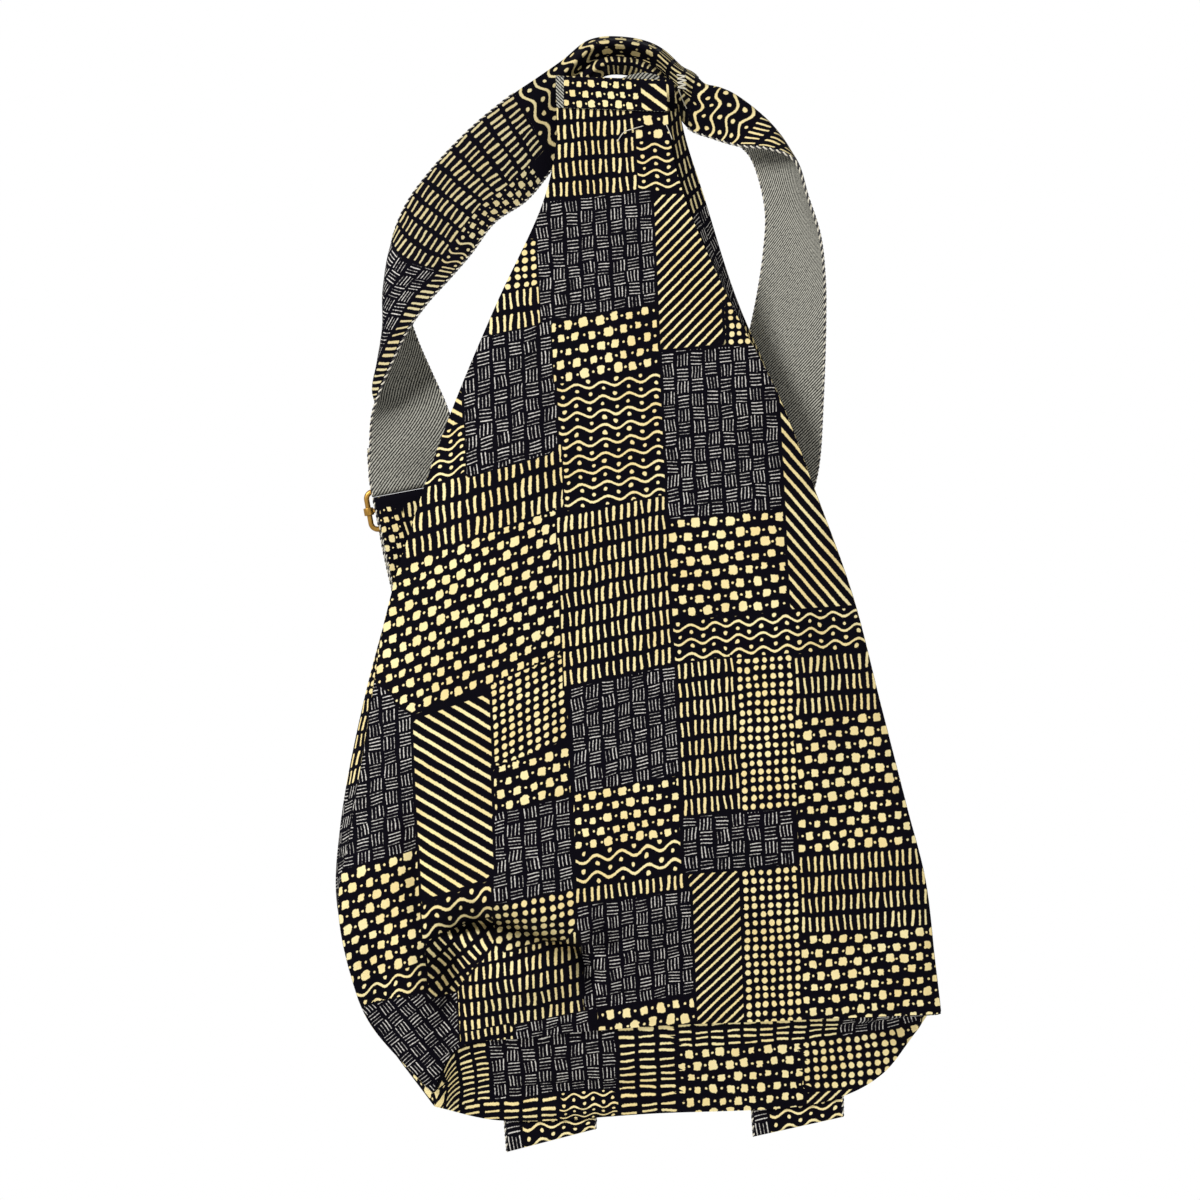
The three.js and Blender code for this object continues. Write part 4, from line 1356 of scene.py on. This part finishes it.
def slider_cut(place, side):
    """The cut where a strap lies straight above its slider."""
    meet = place.at([(0, -WIRE_TURN, STRAP_MEET)])[0]
    reach = side * STRAP_WIDTH / 2 * place.bars
    return Cut(meet - reach, meet + reach)


def strip_rows(cuts, ends, steps, columns):
    """Rows of points across the whole strip, so many between each two of the given cuts."""
    edges = [np.array([cut.outer for cut in cuts], float), np.array([cut.inner for cut in cuts], float)]
    bows = np.array([cut.bow for cut in cuts], float)
    outer, inner, middle = (Route(points) for points in (*edges, (edges[0] + edges[1]) / 2 + bows))
    stops = np.interp(np.array(ends) / (len(cuts) - 1), middle.fine, middle.run)
    way = np.concatenate([np.linspace(a, b, n + 1)[1:] for a, b, n in zip(stops, stops[1:], steps)])
    t = np.interp(np.concatenate([stops[:1], way]), middle.run, middle.fine)
    q = np.linspace(0, 1, BOW_STEPS + 1)[None, :, None]
    bowed = (
        outer.at(t)[:, None, :] * (1 - q) * (1 - 2 * q)
        + middle.at(t)[:, None, :] * 4 * q * (1 - q)
        + inner.at(t)[:, None, :] * q * (2 * q - 1)
    )
    points = np.array([evenly(row, columns) for row in bowed])
    front = unit(np.cross(np.gradient(points, axis=1), np.gradient(points, axis=0)))
    depth = np.interp(t * (len(cuts) - 1), np.arange(len(cuts)), [cut.gather for cut in cuts])
    rolls = -np.cos(4 * math.pi * np.linspace(0, 1, columns + 1))
    return points + front * (depth[:, None] * rolls)[..., None]


def flat_strap(line, across, columns):
    q = np.linspace(-0.5, 0.5, columns + 1)[None, :, None]
    return np.array(line)[:, None, :] + STRAP_WIDTH * q * across[:, None, :]


def turned_end(place, across, columns):
    """The end of a strap that goes round the slider's upper bar and back up behind itself."""
    line = place.at(
        [
            *turn_round(BAR_HALF, WIRE_TURN, math.pi, 2 * math.pi),
            (0, WIRE_TURN, STRAP_MEET),
            (TURN_BACK_DRIFT / 2, WIRE_TURN, BAR_HALF + STRAP_TURN_BACK * 0.75),
            (TURN_BACK_DRIFT, WIRE_TURN, BAR_HALF + STRAP_TURN_BACK),
        ]
    )
    return flat_strap(line, np.tile(across, (len(line), 1)), columns)


def strip_cloth(name, points, patchwork, start=0, painted_shade=0, way=1):
    """A stretch of strap, its print measured along it from its first row or its last, forwards or back."""
    columns = points.shape[1] - 1
    along = run_of(points[:, columns // 2])
    across = np.linspace(-0.5, 0.5, columns + 1) * STRAP_WIDTH
    flat = np.stack(np.broadcast_arrays(across[None, :], (along - along[start])[:, None]), axis=-1)
    cloth = make_cloth(name, points, way * flat, patchwork, painted_shade)
    return cloth, (STRAP_WIDTH * MM, along[-1] * MM)


def carry_strap(name, kind, cloth, points):
    """Edges a strap, bakes the strap and its edging where they lie, and hides the frame's strap."""
    edging = make_edging(f"{name}_{kind}_edging", points)
    for piece in (cloth, edging):
        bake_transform(piece)
    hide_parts(f"{name}_{kind}_strap")
    return edging


def make_shoulder_strip(left, right):
    """One strip of cloth from slider to slider, in three pieces: a strap, the gathered loop and a strap."""
    cuts = [slider_cut(left, -1), *LEFT_CUTS, *LOOP_CUTS, *RIGHT_CUTS, slider_cut(right, 1)]
    left_end = len(LEFT_CUTS)
    right_end = left_end + len(LOOP_CUTS) + 1
    rows = strip_rows(cuts, [0, left_end, right_end, len(cuts) - 1], STRIP_STEPS, STRIP_COLUMNS)
    first, last = STRIP_STEPS[0], STRIP_STEPS[0] + STRIP_STEPS[1]
    loop, size = strip_cloth("loop_cloth", rows[first : last + 1], LOOP_PATCHWORK, painted_shade=LOOP_PAINTED_SHADE)
    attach(loop, "bag")
    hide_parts("hanging_loop")
    left_rows = np.concatenate([turned_end(left, -left.bars, STRIP_COLUMNS)[::-1], rows[: first + 1]])
    right_rows = np.concatenate([rows[last:], turned_end(right, right.bars, STRIP_COLUMNS)])
    for name, place, points, patchwork, start, painted_shade in (
        ("left", left, left_rows, LEFT_SHOULDER_PATCHWORK, -1, LEFT_PAINTED_SHADE),
        ("right", right, right_rows, RIGHT_SHOULDER_PATCHWORK, 0, RIGHT_PAINTED_SHADE),
    ):
        cloth, size = strip_cloth(f"{name}_shoulder_cloth", points, patchwork, start, painted_shade)
        edging = carry_strap(name, "shoulder", cloth, points)


def make_lower_strap(name, tab, place):
    """A strap from the base seam: the folded tab, the rise behind the bag, the turn and the tail."""
    base = back_panel.bottom.at(np.linspace(0, 1, 200))
    tab_top = np.interp(tab.x, base[:, 0], base[:, 2]) - LAYER_STEP
    fold = turn_round(tab_top - TAB_LENGTH, TAB_FOLD_RADIUS, math.pi, 2 * math.pi)
    folded = [(tab.x, BASE_BACK_Y, tab_top), (tab.x, BASE_BACK_Y, tab_top - TAB_LENGTH / 2)]
    folded += [tuple(p + [tab.x, BASE_BACK_Y + TAB_FOLD_RADIUS, 0]) for p in fold]
    behind = HIP_BACK_Y + CLOTH / 2 + SEWN_GAP + LAYER_STEP
    below = place.at([(0, WIRE_TURN, -SLIDER_HEIGHT)])[0]
    rise = Route(
        [
            folded[-1],
            (tab.x, BASE_BACK_Y + 2 * TAB_FOLD_RADIUS + LAYER_STEP, -BACK_DROP + TAB_LENGTH),
            (mix(tab.x, below[0], 0.2), behind, -FRONT_DROP + BASE_DROOP / 2),
            (mix(tab.x, below[0], 0.6), behind + SEWN_GAP, -HIP_END + HIP_LENGTH / 2),
            below,
        ]
    )
    over = place.at(
        [
            (0, WIRE_TURN, -BAR_HALF),
            *turn_round(ROD_TRAVEL, ROD_TURN, 0, math.pi, TAIL_SLACK),
            (TAIL_DRIFT / 4, -WIRE_TURN, -BAR_HALF),
            (TAIL_DRIFT / 3, -WIRE_TURN, -SLIDER_HEIGHT),
            (TAIL_DRIFT / 2, -ROD_TURN * 0.8, -TAIL_LENGTH / 2),
            (TAIL_DRIFT, -ROD_TURN * 0.6, -TAIL_LENGTH),
        ]
    )
    climb = rise.at(rise.share(np.linspace(0, 1, RISE_STEPS + 1)))[1:]
    line = np.concatenate([folded, climb, over[:-4], every(over[-4:], TAIL_STEP)])
    run = run_of(line)
    in_fold = run[len(folded) - 1]
    tilt = math.radians(tab.tilt)
    tilted = np.array([math.cos(tilt), 0, math.sin(tilt)])
    to_fold = smooth(run, 0, in_fold / 2)[:, None]
    to_bars = smooth(run, in_fold, 0.6 * run[-1])[:, None]
    across = unit(mix(mix(np.array([1.0, 0, 0]), tilted, to_fold), place.bars, to_bars))
    points = flat_strap(line, -across, LOWER_COLUMNS)
    points[0, :, 2] = np.interp(points[0, :, 0], base[:, 0], base[:, 2]) - SEWN_GAP
    points[1, :, 2] = (points[0, :, 2] + points[2, :, 2]) / 2
    length = run_of(points[:, LOWER_COLUMNS // 2])[-1]
    patchwork = TAB_PATCHWORK + tail_patchwork(length)
    cloth, size = strip_cloth(f"{name}_lower_cloth", points, patchwork, way=-1)
    edging = carry_strap(name, "lower", cloth, points)


# Camera, light and floor
PHOTO_WIDTH = 655
CAMERA_DISTANCE = 1800
CAMERA_AIM = (-15.3, -20, -289.3)
PHOTO_TILT = math.radians(2.5)
SENSOR = 36
FLOOR_DROP = 250
FLOOR_BACK = 100
FLOOR_SIZE = 1600
WORLD_LIGHT = 0.25

# Lamps: watts, and sizes and places in metres
Lamp = namedtuple("Lamp", "name watts size place aim")
LAMPS = [
    Lamp("key", 42, 0.55, place=(-1.25, -1.35, 0.75), aim=(0, 0, -0.3)),
    Lamp("fill", 6, 1.2, place=(0.5, -1.5, -0.9), aim=(0, 0, -0.5)),
    Lamp("back", 14, 1.2, place=(0.5, 1.6, 0.5), aim=(0, 0, -0.3)),
]


def make_camera():
    data = bpy.data.cameras.new("camera")
    data.sensor_width = SENSOR
    data.lens = SENSOR * CAMERA_DISTANCE / PHOTO_WIDTH
    camera = bpy.data.objects.new("camera", data)
    bpy.context.scene.collection.objects.link(camera)
    up = Vector((math.sin(PHOTO_TILT), 0, math.cos(PHOTO_TILT)))
    forward = Vector((0, 1, 0))
    turned = Matrix((forward.cross(up), up, -forward)).transposed().to_4x4()
    camera.matrix_world = Matrix.Translation((Vector(CAMERA_AIM) - forward * CAMERA_DISTANCE) * MM) @ turned
    bpy.context.scene.camera = camera


def make_light(lamp):
    data = bpy.data.lights.new(lamp.name, "AREA")
    data.energy = lamp.watts
    data.size = lamp.size
    light = bpy.data.objects.new(lamp.name, data)
    bpy.context.scene.collection.objects.link(light)
    light.location = lamp.place
    light.rotation_euler = (Vector(lamp.aim) - Vector(lamp.place)).to_track_quat("-Z", "Y").to_euler()


def make_world():
    """White where it is seen or mirrored, and an even soft light otherwise."""
    world = bpy.data.worlds.new("studio")
    world.use_nodes = True
    bpy.context.scene.world = world
    g = Graph(world.node_tree)
    seen = g.node("ShaderNodeLightPath").outputs
    white = g.math("MAXIMUM", seen["Is Camera Ray"], seen["Is Glossy Ray"])
    white = g.math("MAXIMUM", white, seen["Is Transmission Ray"])
    background = g.node("ShaderNodeBackground")
    background.inputs["Color"].default_value = (1, 1, 1, 1)
    g.feed(background.inputs["Strength"], g.blend(white, WORLD_LIGHT, 1.0))
    output = g.node("ShaderNodeOutputWorld")
    world.node_tree.links.new(background.outputs[0], output.inputs[0])


def make_floor():
    floor_z = cad_box[0].z - FLOOR_DROP * MM
    deselect_all()
    bpy.ops.mesh.primitive_plane_add(size=FLOOR_SIZE * MM, location=(0, FLOOR_BACK * MM, floor_z))
    floor = bpy.context.object
    floor.name = "floor"
    material, g, shader = new_material("pale_floor", roughness=0.8)
    mottle = g.noise(g.object_place(), scale=3.0)
    g.feed(shader.inputs["Base Color"], g.blend(mottle, srgb(244, 244, 242), srgb(250, 250, 249), "RGBA"))
    floor.data.materials.append(material)


make_camera()
make_front()
make_back()
make_side_strip()
make_neck_band()
places = {side: SliderPlace(side) for side in ("left", "right")}
make_shoulder_strip(places["left"], places["right"])
make_neck_stitches()
make_mouth_stitches()
for side, tab in (("left", LEFT_TAB), ("right", RIGHT_TAB)):
    make_slider_wire(side, places[side])
    make_slider_rod(side, places[side])
    make_lower_strap(side, tab, places[side])
make_world()
make_floor()
for lamp in LAMPS:
    make_light(lamp)
bpy.context.scene.view_settings.view_transform = "Standard"
